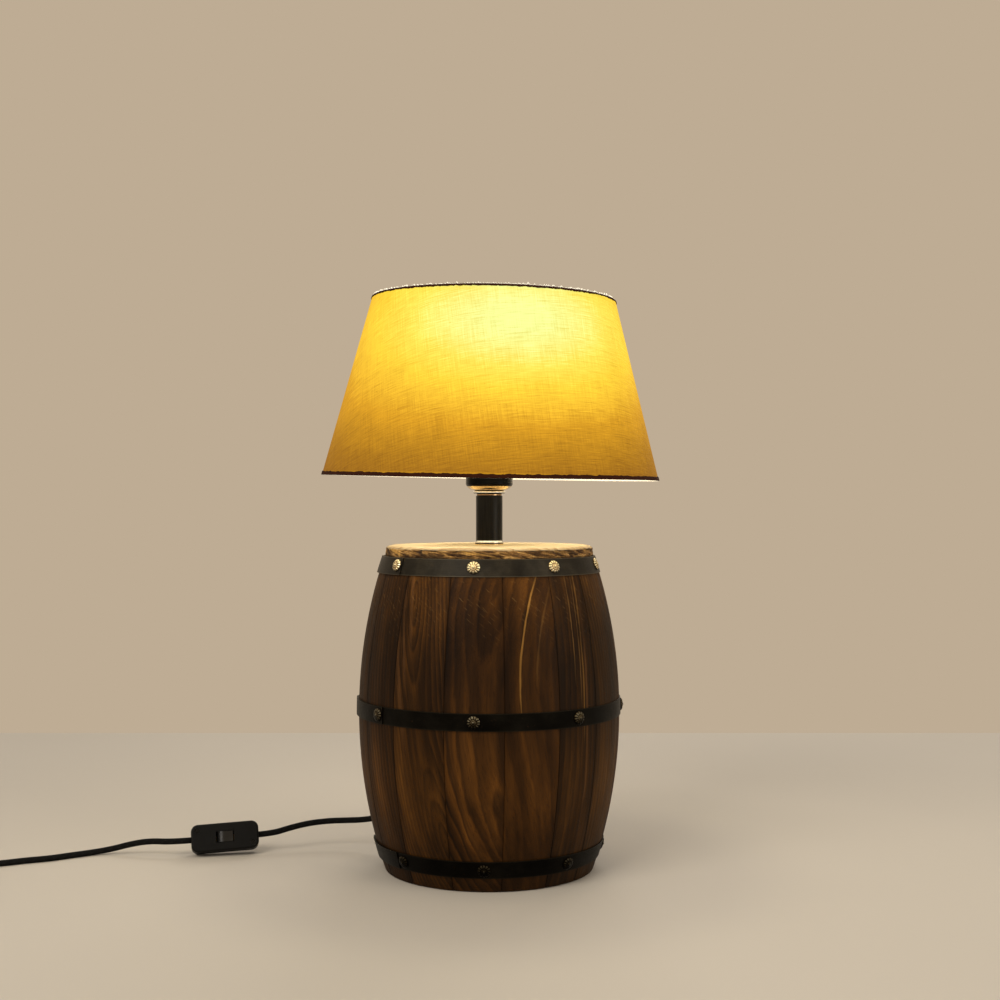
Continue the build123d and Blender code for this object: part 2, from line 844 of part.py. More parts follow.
def draw_binding(edge, inward):
    """Outline of a folded tape at a rim. Inward is 1 where the shade lies above the rim, else -1."""
    outer_leg = edge + inward * binding_height
    inner_leg = edge + inward * binding_inner_height
    bend = edge + inward * binding_thickness
    Polyline(
        (shade_radius(edge) - tape_outer, edge),
        (shade_radius(outer_leg) - tape_outer, outer_leg),
        (shade_radius(outer_leg) + shade_layer_gap, outer_leg),
        (shade_radius(bend) + shade_layer_gap, bend),
        (shade_radius(bend) - frame_inset, bend),
        (shade_radius(inner_leg) - frame_inset, inner_leg),
        (shade_radius(inner_leg) - tape_inner, inner_leg),
        (shade_radius(edge) - tape_inner, edge),
        close=True,
    )


for rim, edge, inward in (("bottom", 0, 1), ("top", shade_height, -1)):
    with BuildPart() as binding:
        with BuildSketch(shade_section):
            with BuildLine():
                draw_binding(edge, inward)
            make_face()
        revolve(axis=shade_axis)
    binding.part.label = f"shade_{rim}_binding"
    export_step(binding.part, f"parts/shade_{rim}_binding.step")

# Shade frame: the bottom wire ring, the hub with three arms that are welded to it, and the top wire ring
wire_rise = binding_inner_height + frame_wire_radius + shade_layer_gap


def frame_ring_radius(height):
    """Radius of a frame wire's centre that lies against the lining at a height."""
    return shade_radius(height) - frame_inset - frame_wire_radius - shade_layer_gap


with BuildPart() as shade_bottom_wire:
    with BuildSketch(shade_section):
        with Locations((frame_ring_radius(wire_rise), wire_rise)):
            Circle(frame_wire_radius)
    revolve(axis=shade_axis)
shade_bottom_wire.part.label = "shade_bottom_wire"
export_step(shade_bottom_wire.part, "parts/shade_bottom_wire.step")

with BuildPart() as shade_fitter:
    with BuildSketch(Plane.XY.offset(hub_foot)):
        Circle(hub_radius)
        Circle(shell_radius + hub_hole_gap, mode=Mode.SUBTRACT)
    extrude(amount=hub_thickness)
    arm_height = hub_foot - shade_arm_radius + 0.2
    for arm_azimuth in shade_arm_azimuths:
        arm_start = direction(arm_azimuth) * shade_arm_start + Vector(0, 0, arm_height)
        reach = shade_plane.to_local_coords(direction(arm_azimuth) * frame_ring_radius(wire_rise))
        ring_angle = atan2(reach.Y, reach.X)
        arm_end = shade_plane.from_local_coords(
            (
                frame_ring_radius(wire_rise) * cos(ring_angle),
                frame_ring_radius(wire_rise) * sin(ring_angle),
                wire_rise,
            )
        )
        arm_run = arm_end - arm_start
        with BuildSketch(Plane(origin=arm_start, z_dir=arm_run)):
            Circle(shade_arm_radius)
        extrude(amount=arm_run.length)
shade_fitter.part.label = "shade_fitter"
export_step(shade_fitter.part, "parts/shade_fitter.step")

top_wire_height = shade_height - wire_rise
with BuildPart() as shade_top_wire:
    with BuildSketch(shade_section):
        with Locations((frame_ring_radius(top_wire_height), top_wire_height)):
            Circle(frame_wire_radius)
    revolve(axis=shade_axis)
shade_top_wire.part.label = "shade_top_wire"
export_step(shade_top_wire.part, "parts/shade_top_wire.step")

# Gland: a flange on the staves, a threaded sleeve through them and a tapered relief outside
inner_face = -stave_thickness
sleeve_end = inner_face - gland_nut_thickness - gland_thread_past_nut
cord_hole_radius = cord_radius + cord_hole_gap
gland_section = Plane(
    origin=exit_plane.origin, x_dir=exit_plane.x_dir, z_dir=-exit_plane.y_dir
)
gland_axis = Axis(exit_plane.origin, exit_plane.z_dir)
flange_seat = 0.5
with BuildPart() as cord_gland:
    with BuildSketch(gland_section):
        with BuildLine():
            Polyline(
                (cord_hole_radius, sleeve_end),
                (gland_sleeve_radius, sleeve_end),
                (gland_sleeve_radius, flange_seat),
                (gland_flange_radius, flange_seat),
                (gland_flange_radius, flange_seat + gland_flange_thickness),
                (gland_sleeve_radius, flange_seat + gland_flange_thickness + 1.5),
                (gland_tip_radius, relief_length),
                (cord_hole_radius, relief_length),
                close=True,
            )
        make_face()
    revolve(axis=gland_axis)
cord_gland.part.label = "cord_gland"
export_step(cord_gland.part, "parts/cord_gland.step")

with BuildPart() as gland_nut:
    with BuildSketch(exit_plane.offset(inner_face - gland_nut_thickness - 0.5)):
        RegularPolygon(radius=gland_nut_radius, side_count=6, major_radius=False)
        Circle(gland_sleeve_radius + fit_gap, mode=Mode.SUBTRACT)
    extrude(amount=gland_nut_thickness)
gland_nut.part.label = "gland_nut"
export_step(gland_nut.part, "parts/gland_nut.step")

# Lead inside the barrel: in through the gland, across, and up through the rod
exit_level = direction(exit_azimuth)
turn_back = (relief_end.dot(exit_level) - inner_turn_low) / exit_axis.dot(exit_level)
inner_turn = relief_end - exit_axis * turn_back
inner_route = [
    relief_end,
    inner_turn,
    Vector(0, 0, inner_turn_height),
    Vector(0, 0, insert_foot),
]
inner_radii = bend_radii(inner_route, inner_bend_share)
with BuildPart() as inner_cord:
    with BuildLine() as inner_path:
        FilletPolyline(*inner_route, radius=inner_radii)
    with BuildSketch(Plane(origin=relief_end, z_dir=-exit_axis)):
        Circle(cord_radius)
    sweep()
inner_cord.part.label = "inner_cord"
export_step(inner_cord.part, "parts/inner_cord.step")
report_tube("inner_cord", inner_cord.part, inner_path)

# Switch: a plane at the middle of the case, with X along it, Y up its face and Z towards the front
lean = radians(switch_backward_lean)
heading = radians(switch_heading)
switch_along = Vector(cos(heading), sin(heading), 0)
switch_up = Vector(-sin(heading) * sin(lean), cos(heading) * sin(lean), cos(lean))
switch_out = switch_along.cross(switch_up)
rest_corner = Vector(*switch_back_edge, switch_lift)
switch_centre = rest_corner + switch_up * (switch_height / 2) + switch_out * (switch_depth / 2)
switch_plane = turned(Plane(origin=switch_centre, x_dir=switch_along, z_dir=switch_out), switch_rise)
half_depth = switch_depth / 2
cover_face = half_depth
back_face = -half_depth
cord_section_plane = Plane(
    origin=switch_plane.origin, x_dir=switch_plane.y_dir, z_dir=switch_plane.x_dir
)


def switch_layer(offset):
    """Plane parallel to the switch's face, at an offset from the middle of the case."""
    return switch_plane.offset(offset)


with BuildPart() as switch_back:
    with BuildSketch(switch_layer(back_face)):
        RectangleRounded(switch_length, switch_height, switch_corner_radius)
    extrude(amount=switch_split - back_face)
    back_edges = switch_back.faces().sort_by(Axis(switch_plane.origin, switch_plane.z_dir))[0].edges()
    fillet(back_edges, switch_edge_round)
    with BuildSketch(switch_layer(back_face + switch_wall)):
        RectangleRounded(
            switch_length - 2 * switch_wall,
            switch_height - 2 * switch_wall,
            switch_corner_radius - switch_wall,
        )
    extrude(amount=switch_depth, mode=Mode.SUBTRACT)
    with BuildSketch(switch_layer(back_face + switch_wall)):
        with Locations(*switch_screw_places):
            Circle(screw_post_radius)
            Circle(switch_screw_radius + fit_gap, mode=Mode.SUBTRACT)
    extrude(amount=switch_split - back_face - switch_wall)
    with BuildSketch(cord_section_plane):
        Circle(cord_hole_radius)
    extrude(amount=switch_length, both=True, mode=Mode.SUBTRACT)
switch_back.part.label = "switch_back"
export_step(switch_back.part, "parts/switch_back.step")

pivot_offset = cover_face - rocker_pivot_depth
pivot_plane = switch_layer(pivot_offset)
rocker_hole_length = 2 * (rocker_radius + moving_gap)
rocker_hole_width = rocker_width + 2 * moving_gap
lug_low = cover_face - switch_wall - lug_depth
lug_middle = rocker_hole_width / 2 + lug_thickness / 2
screw_seat = cover_face - switch_screw_head_recess
with BuildPart() as switch_cover:
    with BuildSketch(switch_layer(switch_split)):
        RectangleRounded(switch_length, switch_height, switch_corner_radius)
    extrude(amount=cover_face - switch_split)
    face_edges = switch_cover.faces().sort_by(Axis(switch_plane.origin, switch_plane.z_dir))[-1].edges()
    fillet(face_edges, switch_edge_round)
    with BuildSketch(switch_layer(switch_split)):
        RectangleRounded(
            switch_length - 2 * switch_wall,
            switch_height - 2 * switch_wall,
            switch_corner_radius - switch_wall,
        )
    extrude(amount=cover_face - switch_split - switch_wall, mode=Mode.SUBTRACT)
    with BuildSketch(switch_layer(switch_split)):
        with Locations(*switch_screw_places):
            Circle(screw_post_radius)
    extrude(amount=cover_face - switch_split - switch_wall)
    with BuildSketch(switch_layer(switch_split)):
        with Locations(*switch_screw_places):
            Circle(switch_screw_radius + fit_gap)
    extrude(amount=switch_depth, mode=Mode.SUBTRACT)
    with BuildSketch(switch_layer(screw_seat)):
        with Locations(*switch_screw_places):
            Circle(switch_screw_head_radius + fit_gap)
    extrude(amount=switch_depth, mode=Mode.SUBTRACT)
    with BuildSketch(switch_layer(lug_low)):
        with Locations((0, lug_middle), (0, -lug_middle)):
            Rectangle(lug_length, lug_thickness)
    extrude(amount=lug_depth)
    with BuildSketch(switch_layer(lug_low)):
        Rectangle(rocker_hole_length, rocker_hole_width)
    extrude(amount=switch_depth, mode=Mode.SUBTRACT)
    with BuildSketch(Plane(origin=pivot_plane.origin, x_dir=pivot_plane.x_dir, z_dir=pivot_plane.y_dir)):
        Circle(trunnion_radius + trunnion_gap)
    extrude(amount=lug_middle + lug_thickness, both=True, mode=Mode.SUBTRACT)
    with BuildSketch(cord_section_plane):
        Circle(cord_hole_radius)
    extrude(amount=switch_length, both=True, mode=Mode.SUBTRACT)
switch_cover.part.label = "switch_cover"
export_step(switch_cover.part, "parts/switch_cover.step")

# Rocker: round about its pivot at both ends, hollowed on top, standing at one end of its swing
rocker_axis_plane = Plane(
    origin=pivot_plane.origin, x_dir=pivot_plane.x_dir, z_dir=-pivot_plane.y_dir
)
rocker_plane = turned(rocker_axis_plane, -rocker_swing / 2)
end_point = (rocker_radius * cos(radians(rocker_end_angle)), rocker_radius * sin(radians(rocker_end_angle)))
belly_point = (sqrt(rocker_radius**2 - rocker_belly_depth**2), -rocker_belly_depth)
with BuildPart() as switch_rocker:
    with BuildSketch(rocker_plane):
        with BuildLine():
            ThreePointArc(belly_point, (rocker_radius, 0), end_point)
            ThreePointArc(end_point, (0, rocker_waist_height), (-end_point[0], end_point[1]))
            ThreePointArc(
                (-end_point[0], end_point[1]), (-rocker_radius, 0), (-belly_point[0], belly_point[1])
            )
            Line((-belly_point[0], belly_point[1]), belly_point)
        make_face()
    extrude(amount=rocker_width / 2, both=True)
    with BuildSketch(rocker_plane):
        Circle(trunnion_radius)
    extrude(amount=rocker_width / 2 + trunnion_length, both=True)
switch_rocker.part.label = "switch_rocker"
export_step(switch_rocker.part, "parts/switch_rocker.step")

# Switch screws, from the cover's face into the back shell's posts, with slotted heads
with BuildPart() as switch_screws:
    with BuildSketch(switch_layer(screw_seat)):
        with Locations(*switch_screw_places):
            Circle(switch_screw_head_radius)
    extrude(amount=switch_screw_head_height)
    with BuildSketch(switch_layer(screw_seat + switch_screw_head_height - screw_slot_depth)):
        with Locations(*switch_screw_places):
            Rectangle(screw_slot_width, 3 * switch_screw_head_radius, rotation=screw_slot_angle)
    extrude(amount=screw_slot_depth, mode=Mode.SUBTRACT)
    with BuildSketch(switch_layer(screw_seat)):
        with Locations(*switch_screw_places):
            Circle(switch_screw_radius)
    extrude(amount=-switch_screw_reach)
switch_screws.part.label = "switch_screws"
export_step(switch_screws.part, "parts/switch_screws.step")

# Switch contacts: two fixed blocks on the back shell's floor, one each side of the rocker
with BuildPart() as switch_contacts:
    with BuildSketch(switch_layer(back_face + switch_wall)):
        with Locations((contact_spread, 0), (-contact_spread, 0)):
            Rectangle(contact_length, contact_width)
    extrude(amount=contact_thickness)
    with BuildSketch(switch_layer(back_face + switch_wall + contact_thickness)):
        with Locations((contact_spread, 0), (-contact_spread, 0)):
            Rectangle(contact_thickness * 2, contact_width)
    extrude(amount=contact_post_height)
switch_contacts.part.label = "switch_contacts"
export_step(switch_contacts.part, "parts/switch_contacts.step")

# Lead from the gland to the switch
cord_start = switch_length / 2 - cord_in_switch


def along_switch(distance):
    """Point on the switch's long middle line, at a distance from its centre."""
    return switch_plane.from_local_coords((distance, 0, 0))


lamp_side_points = [
    relief_end,
    relief_end + exit_axis * lamp_side_lead_out,
    *[Vector(*point) for point in lamp_side_route],
    along_switch(switch_length / 2 + lamp_side_lead_in),
    along_switch(cord_start),
]
lamp_side_radii = bend_radii(lamp_side_points)
with BuildPart() as cord_lamp_side:
    with BuildLine() as lamp_side_path:
        FilletPolyline(*lamp_side_points, radius=lamp_side_radii)
    with BuildSketch(Plane(origin=relief_end, z_dir=lamp_side_points[1] - relief_end)):
        Circle(cord_radius)
    sweep()
cord_lamp_side.part.label = "cord_lamp_side"
export_step(cord_lamp_side.part, "parts/cord_lamp_side.step")
lamp_side_length = report_tube("cord_lamp_side", cord_lamp_side.part, lamp_side_path)
print("bends, lamp side:", [round(radius) for radius in lamp_side_radii])

# Coil: two layers of flat spiral, in and then out again, as one unbroken tube
coil_low = coil_lift + cord_radius
coil_high = coil_low + coil_layer_rise
coil_inner_radius = coil_outer_radius - coil_pitch * coil_turns_in
coil_start_azimuth = 90.0
climb_turns = 0.5
coil_end_turn = coil_turns_in + climb_turns + coil_turns_out
plug_axis_height = plug_thickness / 2


def ease(share):
    """Smooth step from 0 to 1."""
    return share * share * (3 - 2 * share)


def coil_point(turn):
    """Point of the coil's middle line after a number of turns."""
    if turn < coil_turns_in:
        radius = coil_outer_radius - coil_pitch * turn
        height = coil_low
    elif turn < coil_turns_in + climb_turns:
        share = (turn - coil_turns_in) / climb_turns
        radius = coil_inner_radius - coil_climb_dip * sin(pi * share) ** 2
        height = coil_low + coil_layer_rise * ease(share)
    else:
        out = turn - coil_turns_in - climb_turns
        radius = coil_inner_radius + coil_pitch * out
        height = coil_high
    last = max(0.0, turn - coil_end_turn + 0.25) / 0.25
    radius += coil_tail_swell * ease(last)
    angle = coil_start_azimuth + 360 * turn
    return Vector(*coil_centre, height) + direction(angle) * radius


def coil_tangent(turn):
    """Unit tangent of the coil's middle line."""
    step = 1e-4
    low = max(0.0, turn - step)
    high = min(coil_end_turn, turn + step)
    return (coil_point(high) - coil_point(low)).normalized()


def draw_biarc(start, start_tangent, end, end_tangent):
    """Two arcs that join two points with given tangents."""
    chord = end - start
    both = start_tangent + end_tangent
    closeness = 2 * (1 - start_tangent.dot(end_tangent))
    along = chord.dot(both)
    reach = chord.dot(chord) / (along + sqrt(along**2 + closeness * chord.dot(chord)))
    first_end = start + start_tangent * reach
    second_end = end - end_tangent * reach
    middle = (first_end + second_end) * 0.5
    TangentArc(start, middle, tangent=start_tangent)
    TangentArc(middle, end, tangent=second_end - first_end)


segment_turns = 0.25
segment_count = ceil(coil_end_turn / segment_turns - 1e-9)
coil_stations = [min(index * segment_turns, coil_end_turn) for index in range(segment_count + 1)]
coil_start = coil_point(0)
coil_start_tangent = coil_tangent(0)
coil_entry = coil_start - coil_start_tangent * (2 * cord_radius)
coil_end = coil_point(coil_end_turn)
coil_end_tangent = coil_tangent(coil_end_turn)
tail_level = Vector(0, -1, 0)
tail_foot = Vector(plug_axis_x, coil_end.Y - coil_tail_length, plug_axis_height)
cord_end = tail_foot + tail_level * (2 * cord_radius)

# Lead from the switch to the coil
free_points = [
    along_switch(-cord_start),
    along_switch(-(switch_length / 2 + free_lead_out)),
    *[Vector(*point) for point in free_route],
    coil_entry - coil_start_tangent * free_lead_in,
    coil_entry,
]
free_radii = bend_radii(free_points)
with BuildPart() as cord_free:
    with BuildLine() as free_path:
        FilletPolyline(*free_points, radius=free_radii)
    with BuildSketch(Plane(origin=free_points[0], z_dir=free_points[1] - free_points[0])):
        Circle(cord_radius)
    sweep()
cord_free.part.label = "cord_free"
export_step(cord_free.part, "parts/cord_free.step")
free_length = report_tube("cord_free", cord_free.part, free_path)
print("bends, plug side:", [round(radius) for radius in free_radii])

with BuildPart() as cord_coil:
    with BuildLine() as coil_path:
        Line(coil_entry, coil_start)
        for station, following in zip(coil_stations, coil_stations[1:]):
            draw_biarc(
                coil_point(station),
                coil_tangent(station),
                coil_point(following),
                coil_tangent(following),
            )
        draw_biarc(coil_end, coil_end_tangent, tail_foot, tail_level)
        Line(tail_foot, cord_end)
    with BuildSketch(Plane(origin=coil_entry, z_dir=coil_start_tangent)):
        Circle(cord_radius)
    sweep()
cord_coil.part.label = "cord_coil"
export_step(cord_coil.part, "parts/cord_coil.step")
coil_length = report_tube("cord_coil", cord_coil.part, coil_path)


def least_coil_gap():
    """Least clear distance between two turns of the coil, on points along its middle line."""
    steps = 60
    turns = [index / steps for index in range(int(coil_end_turn * steps) + 1)]
    points = [coil_point(turn) for turn in turns]
    tail = [coil_end + (tail_foot - coil_end) * (index / 12) for index in range(1, 13)]
    points += tail
    apart = steps // 2
    nearest = min(
        (points[low] - points[high]).length
        for low in range(len(points))
        for high in range(low + apart, len(points))
    )
    return nearest - 2 * cord_radius


lead_length = lamp_side_length + free_length + coil_length
print(f"coil: mean diameter {coil_outer_radius + coil_inner_radius:.1f}, least gap {least_coil_gap():.2f}")
print(f"lead outside the barrel: {lead_length:.0f}")

# Tie round the coil's turns
tie_along = direction(tie_azimuth)
tie_across = direction(tie_azimuth - 90)
tie_reaches = []
for step in range(int(coil_end_turn * 120)):
    from_centre = coil_point(step / 120) - Vector(*coil_centre, 0)
    beside = abs(from_centre.dot(tie_across)) < tie_width / 2 + cord_radius
    if beside and from_centre.dot(tie_along) > 0:
        tie_reaches.append(from_centre.dot(tie_along))
tie_inner_radius = min(tie_reaches) - cord_radius - tie_gap
tie_outer_radius = max(tie_reaches) + cord_radius + tie_gap
tie_low = coil_lift - tie_gap
tie_high = coil_high + cord_radius + tie_gap
tie_middle = (tie_inner_radius + tie_outer_radius) / 2
tie_plane = Plane(
    origin=Vector(*coil_centre, 0) + tie_along * tie_middle,
    x_dir=tie_along,
    z_dir=tie_across,
)
tie_span = tie_outer_radius - tie_inner_radius
tie_rise = tie_high - tie_low
with BuildPart() as cord_tie:
    with BuildSketch(tie_plane):
        with Locations((0, (tie_low + tie_high) / 2)):
            RectangleRounded(
                tie_span + 2 * tie_thickness, tie_rise + 2 * tie_thickness, cord_radius
            )
            RectangleRounded(
                tie_span, tie_rise, cord_radius - tie_thickness, mode=Mode.SUBTRACT
            )
    extrude(amount=tie_width / 2, both=True)
cord_tie.part.label = "cord_tie"
export_step(cord_tie.part, "parts/cord_tie.step")

# Plug: flat on the table, its relief meeting the end of the lead
plug_plane = Plane(
    origin=cord_end, x_dir=tail_level.cross(Vector(0, 0, 1)) * -1, z_dir=tail_level
)
body_start = plug_relief_length
body_end = body_start + plug_length
with BuildPart() as plug_body:
    with BuildSketch(plug_plane):
        Circle(plug_relief_tip)
    with BuildSketch(plug_plane.offset(plug_relief_length)):
        Circle(plug_relief_root)
    loft()
    with BuildSketch(plug_plane.offset(body_start)):
        RectangleRounded(plug_nose_width * 0.62, plug_thickness, plug_edge_round)
    with BuildSketch(plug_plane.offset(body_start + plug_length * 0.45)):
        RectangleRounded(plug_width, plug_thickness, plug_edge_round)
    with BuildSketch(plug_plane.offset(body_end)):
        RectangleRounded(plug_nose_width, plug_thickness, plug_edge_round)
    loft(ruled=True)
    with Locations(plug_plane.offset(body_end).location):
        with GridLocations(pin_spacing, 0, 2, 1):
            Hole(radius=pin_root_radius + fit_gap, depth=pin_root_depth)
plug_body.part.label = "plug_body"
export_step(plug_body.part, "parts/plug_body.step")

with BuildPart() as plug_pins:
    with BuildSketch(plug_plane.offset(body_end)):
        with GridLocations(pin_spacing, 0, 2, 1):
            Circle(pin_radius)
    extrude(amount=pin_length)
    with BuildSketch(plug_plane.offset(body_end)):
        with GridLocations(pin_spacing, 0, 2, 1):
            Circle(pin_root_radius)
    extrude(amount=-pin_root_depth)
    pin_tips = plug_pins.faces().sort_by(Axis(cord_end, tail_level))[-2:]
    fillet(pin_tips.edges(), pin_radius * 0.6)
plug_pins.part.label = "plug_pins"
export_step(plug_pins.part, "parts/plug_pins.step")

print("rocker pivot", rocker_axis_plane.origin, "axis", rocker_axis_plane.z_dir)
print("plug pins start at", plug_plane.offset(body_end).origin)
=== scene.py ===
import json
from dataclasses import dataclass
from math import ceil, cos, pi, radians, sin, sqrt

import bpy
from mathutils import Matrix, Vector, noise


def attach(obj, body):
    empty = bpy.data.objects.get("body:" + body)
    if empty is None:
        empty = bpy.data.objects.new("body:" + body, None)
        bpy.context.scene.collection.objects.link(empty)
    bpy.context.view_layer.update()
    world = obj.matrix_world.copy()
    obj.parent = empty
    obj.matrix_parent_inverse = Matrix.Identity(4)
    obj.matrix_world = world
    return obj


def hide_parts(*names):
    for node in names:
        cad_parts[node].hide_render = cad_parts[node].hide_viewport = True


# Looks of a table lamp with a barrel for a base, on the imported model. Metres; azimuths run from +X
# towards +Y, the front is -Y, and an angle "from the front" grows towards +X.

MM = 0.001

# Measures of the model
belly_radius = 115.8 * MM
bulge_radius = 430 * MM
belly_height = 139.5 * MM
first_joint_angle = -43.5
stave_shares = [25.1, 25.1, 24.0, 21.0, 25.6, 24.4, 25.3, 24.7, 25.5, 24.2, 25.3, 26.5, 21.5, 20.6, 21.2]
stave_top = 276.5 * MM
board_top = 286 * MM
board_radius = 92.6 * MM
board_hole_radius = 5.1 * MM
spigot_foot = 268.5 * MM
spigot_radius = 81.3 * MM
hoop_width = 14.5 * MM
hoop_gap = 0.05 * MM
hoop_thickness = 1.0 * MM
lap_end_angle = -49.6
lap_angle = 40.0
hoops = {
    "top": (269.5 * MM, [-104, -53.4, -7.3, 34.6, 74.5, 120, 165, 211]),
    "middle": (144.5 * MM, [-98, -52.6, -5.9, 40.2, 88, 132, 176, 219]),
    "bottom": (20.0 * MM, [-101, -46, -2.1, 41.8, 90, 133, 176, 218]),
}
nail_radius = 5.5 * MM
ring_band_foot = 331.8 * MM
cup_foot = 335.0 * MM
shade_foot = Vector((1.1, 0, 345.8)) * MM
shade_bottom_radius = 149.5 * MM
shade_top_radius = 108.2 * MM
shade_height = 158.3 * MM
shade_lean = 1.2
shade_lean_azimuth = -18.0
cord_radius = 2.75 * MM
bulb_height = 430 * MM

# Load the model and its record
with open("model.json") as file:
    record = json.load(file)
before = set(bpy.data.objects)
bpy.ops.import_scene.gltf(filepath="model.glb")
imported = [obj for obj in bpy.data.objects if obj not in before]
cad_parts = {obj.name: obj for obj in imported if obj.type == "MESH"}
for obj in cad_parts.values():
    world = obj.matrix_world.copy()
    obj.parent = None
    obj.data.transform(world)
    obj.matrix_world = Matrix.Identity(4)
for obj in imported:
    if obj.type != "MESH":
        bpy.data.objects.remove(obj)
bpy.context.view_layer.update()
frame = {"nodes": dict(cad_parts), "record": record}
nodes = frame["nodes"]
body_of = {node: body for body, names in frame["record"]["behaviour"]["bodies"].items() for node in names}


def direction(azimuth, elevation=0.0):
    """Unit vector at an azimuth and an elevation in degrees."""
    level = cos(radians(elevation))
    return Vector((level * cos(radians(azimuth)), level * sin(radians(azimuth)), sin(radians(elevation))))


def barrel_radius(height):
    """Outer radius of the staves at a height."""
    return belly_radius - bulge_radius + sqrt(bulge_radius**2 - (height - belly_height) ** 2)


def ease(share):
    """Smooth step from 0 to 1."""
    share = min(max(share, 0.0), 1.0)
    return share * share * (3 - 2 * share)


scene = bpy.context.scene
scene.view_settings.view_transform = "Standard"


def placed(name, data, place=(0, 0, 0)):
    """A new object in the scene."""
    made = bpy.data.objects.new(name, data)
    made.location = place
    scene.collection.objects.link(made)
    return made


# Camera
camera_data = bpy.data.cameras.new("camera")
camera_data.lens = 52.92
camera_data.sensor_width = 36
camera_data.clip_end = 30
camera = placed("camera", camera_data, (0.0096, -1.313, 0.326))
camera.rotation_euler = (radians(90), 0, 0)
scene.camera = camera


# Materials


def rgb(red, green, blue):
    """Linear colour from the usual values of 0 to 255."""
    shares = [value / 255 for value in (red, green, blue)]
    linear = [share / 12.92 if share <= 0.04045 else ((share + 0.055) / 1.055) ** 2.4 for share in shares]
    return (*linear, 1.0)


def arithmetic(operation, turned=False):
    """An operator of values that adds a math node. A turned one takes the value second."""

    def operator(value, other):
        first, second = (other, value) if turned else (value, other)
        return value.maker.math(operation, first, second)

    return operator


class Value:
    """An output of a node. Arithmetic with it adds math nodes."""

    __add__ = arithmetic("ADD")
    __sub__ = arithmetic("SUBTRACT")
    __rsub__ = arithmetic("SUBTRACT", turned=True)
    __mul__ = arithmetic("MULTIPLY")
    __truediv__ = arithmetic("DIVIDE")
    __rtruediv__ = arithmetic("DIVIDE", turned=True)

    def __init__(self, maker, socket):
        self.maker = maker
        self.socket = socket

    def __abs__(self):
        return self.maker.math("ABSOLUTE", self)


class NodeTree:
    """The nodes of a material or of the world, added by calls that give values."""

    def __init__(self, owner):
        owner.use_nodes = True
        self.tree = owner.node_tree
        self.tree.nodes.clear()

    def node(self, kind, given=(), **settings):
        """A new node. What its sockets get is in their order, or keyed by their names or numbers."""
        node = self.tree.nodes.new(kind)
        for name, value in settings.items():
            setattr(node, name, value)
        keyed = given if isinstance(given, dict) else dict(enumerate(given))
        for key, value in keyed.items():
            self.feed(node.inputs[key], value)
        return node

    def value(self, kind, given=(), output=0, **settings):
        return Value(self, self.node(kind, given, **settings).outputs[output])

    def feed(self, socket, value):
        if isinstance(value, Value):
            self.tree.links.new(value.socket, socket)
        else:
            socket.default_value = value

    def math(self, operation, first, second=0.0, clamp=False):
        return self.value("ShaderNodeMath", (first, second), operation=operation, use_clamp=clamp)


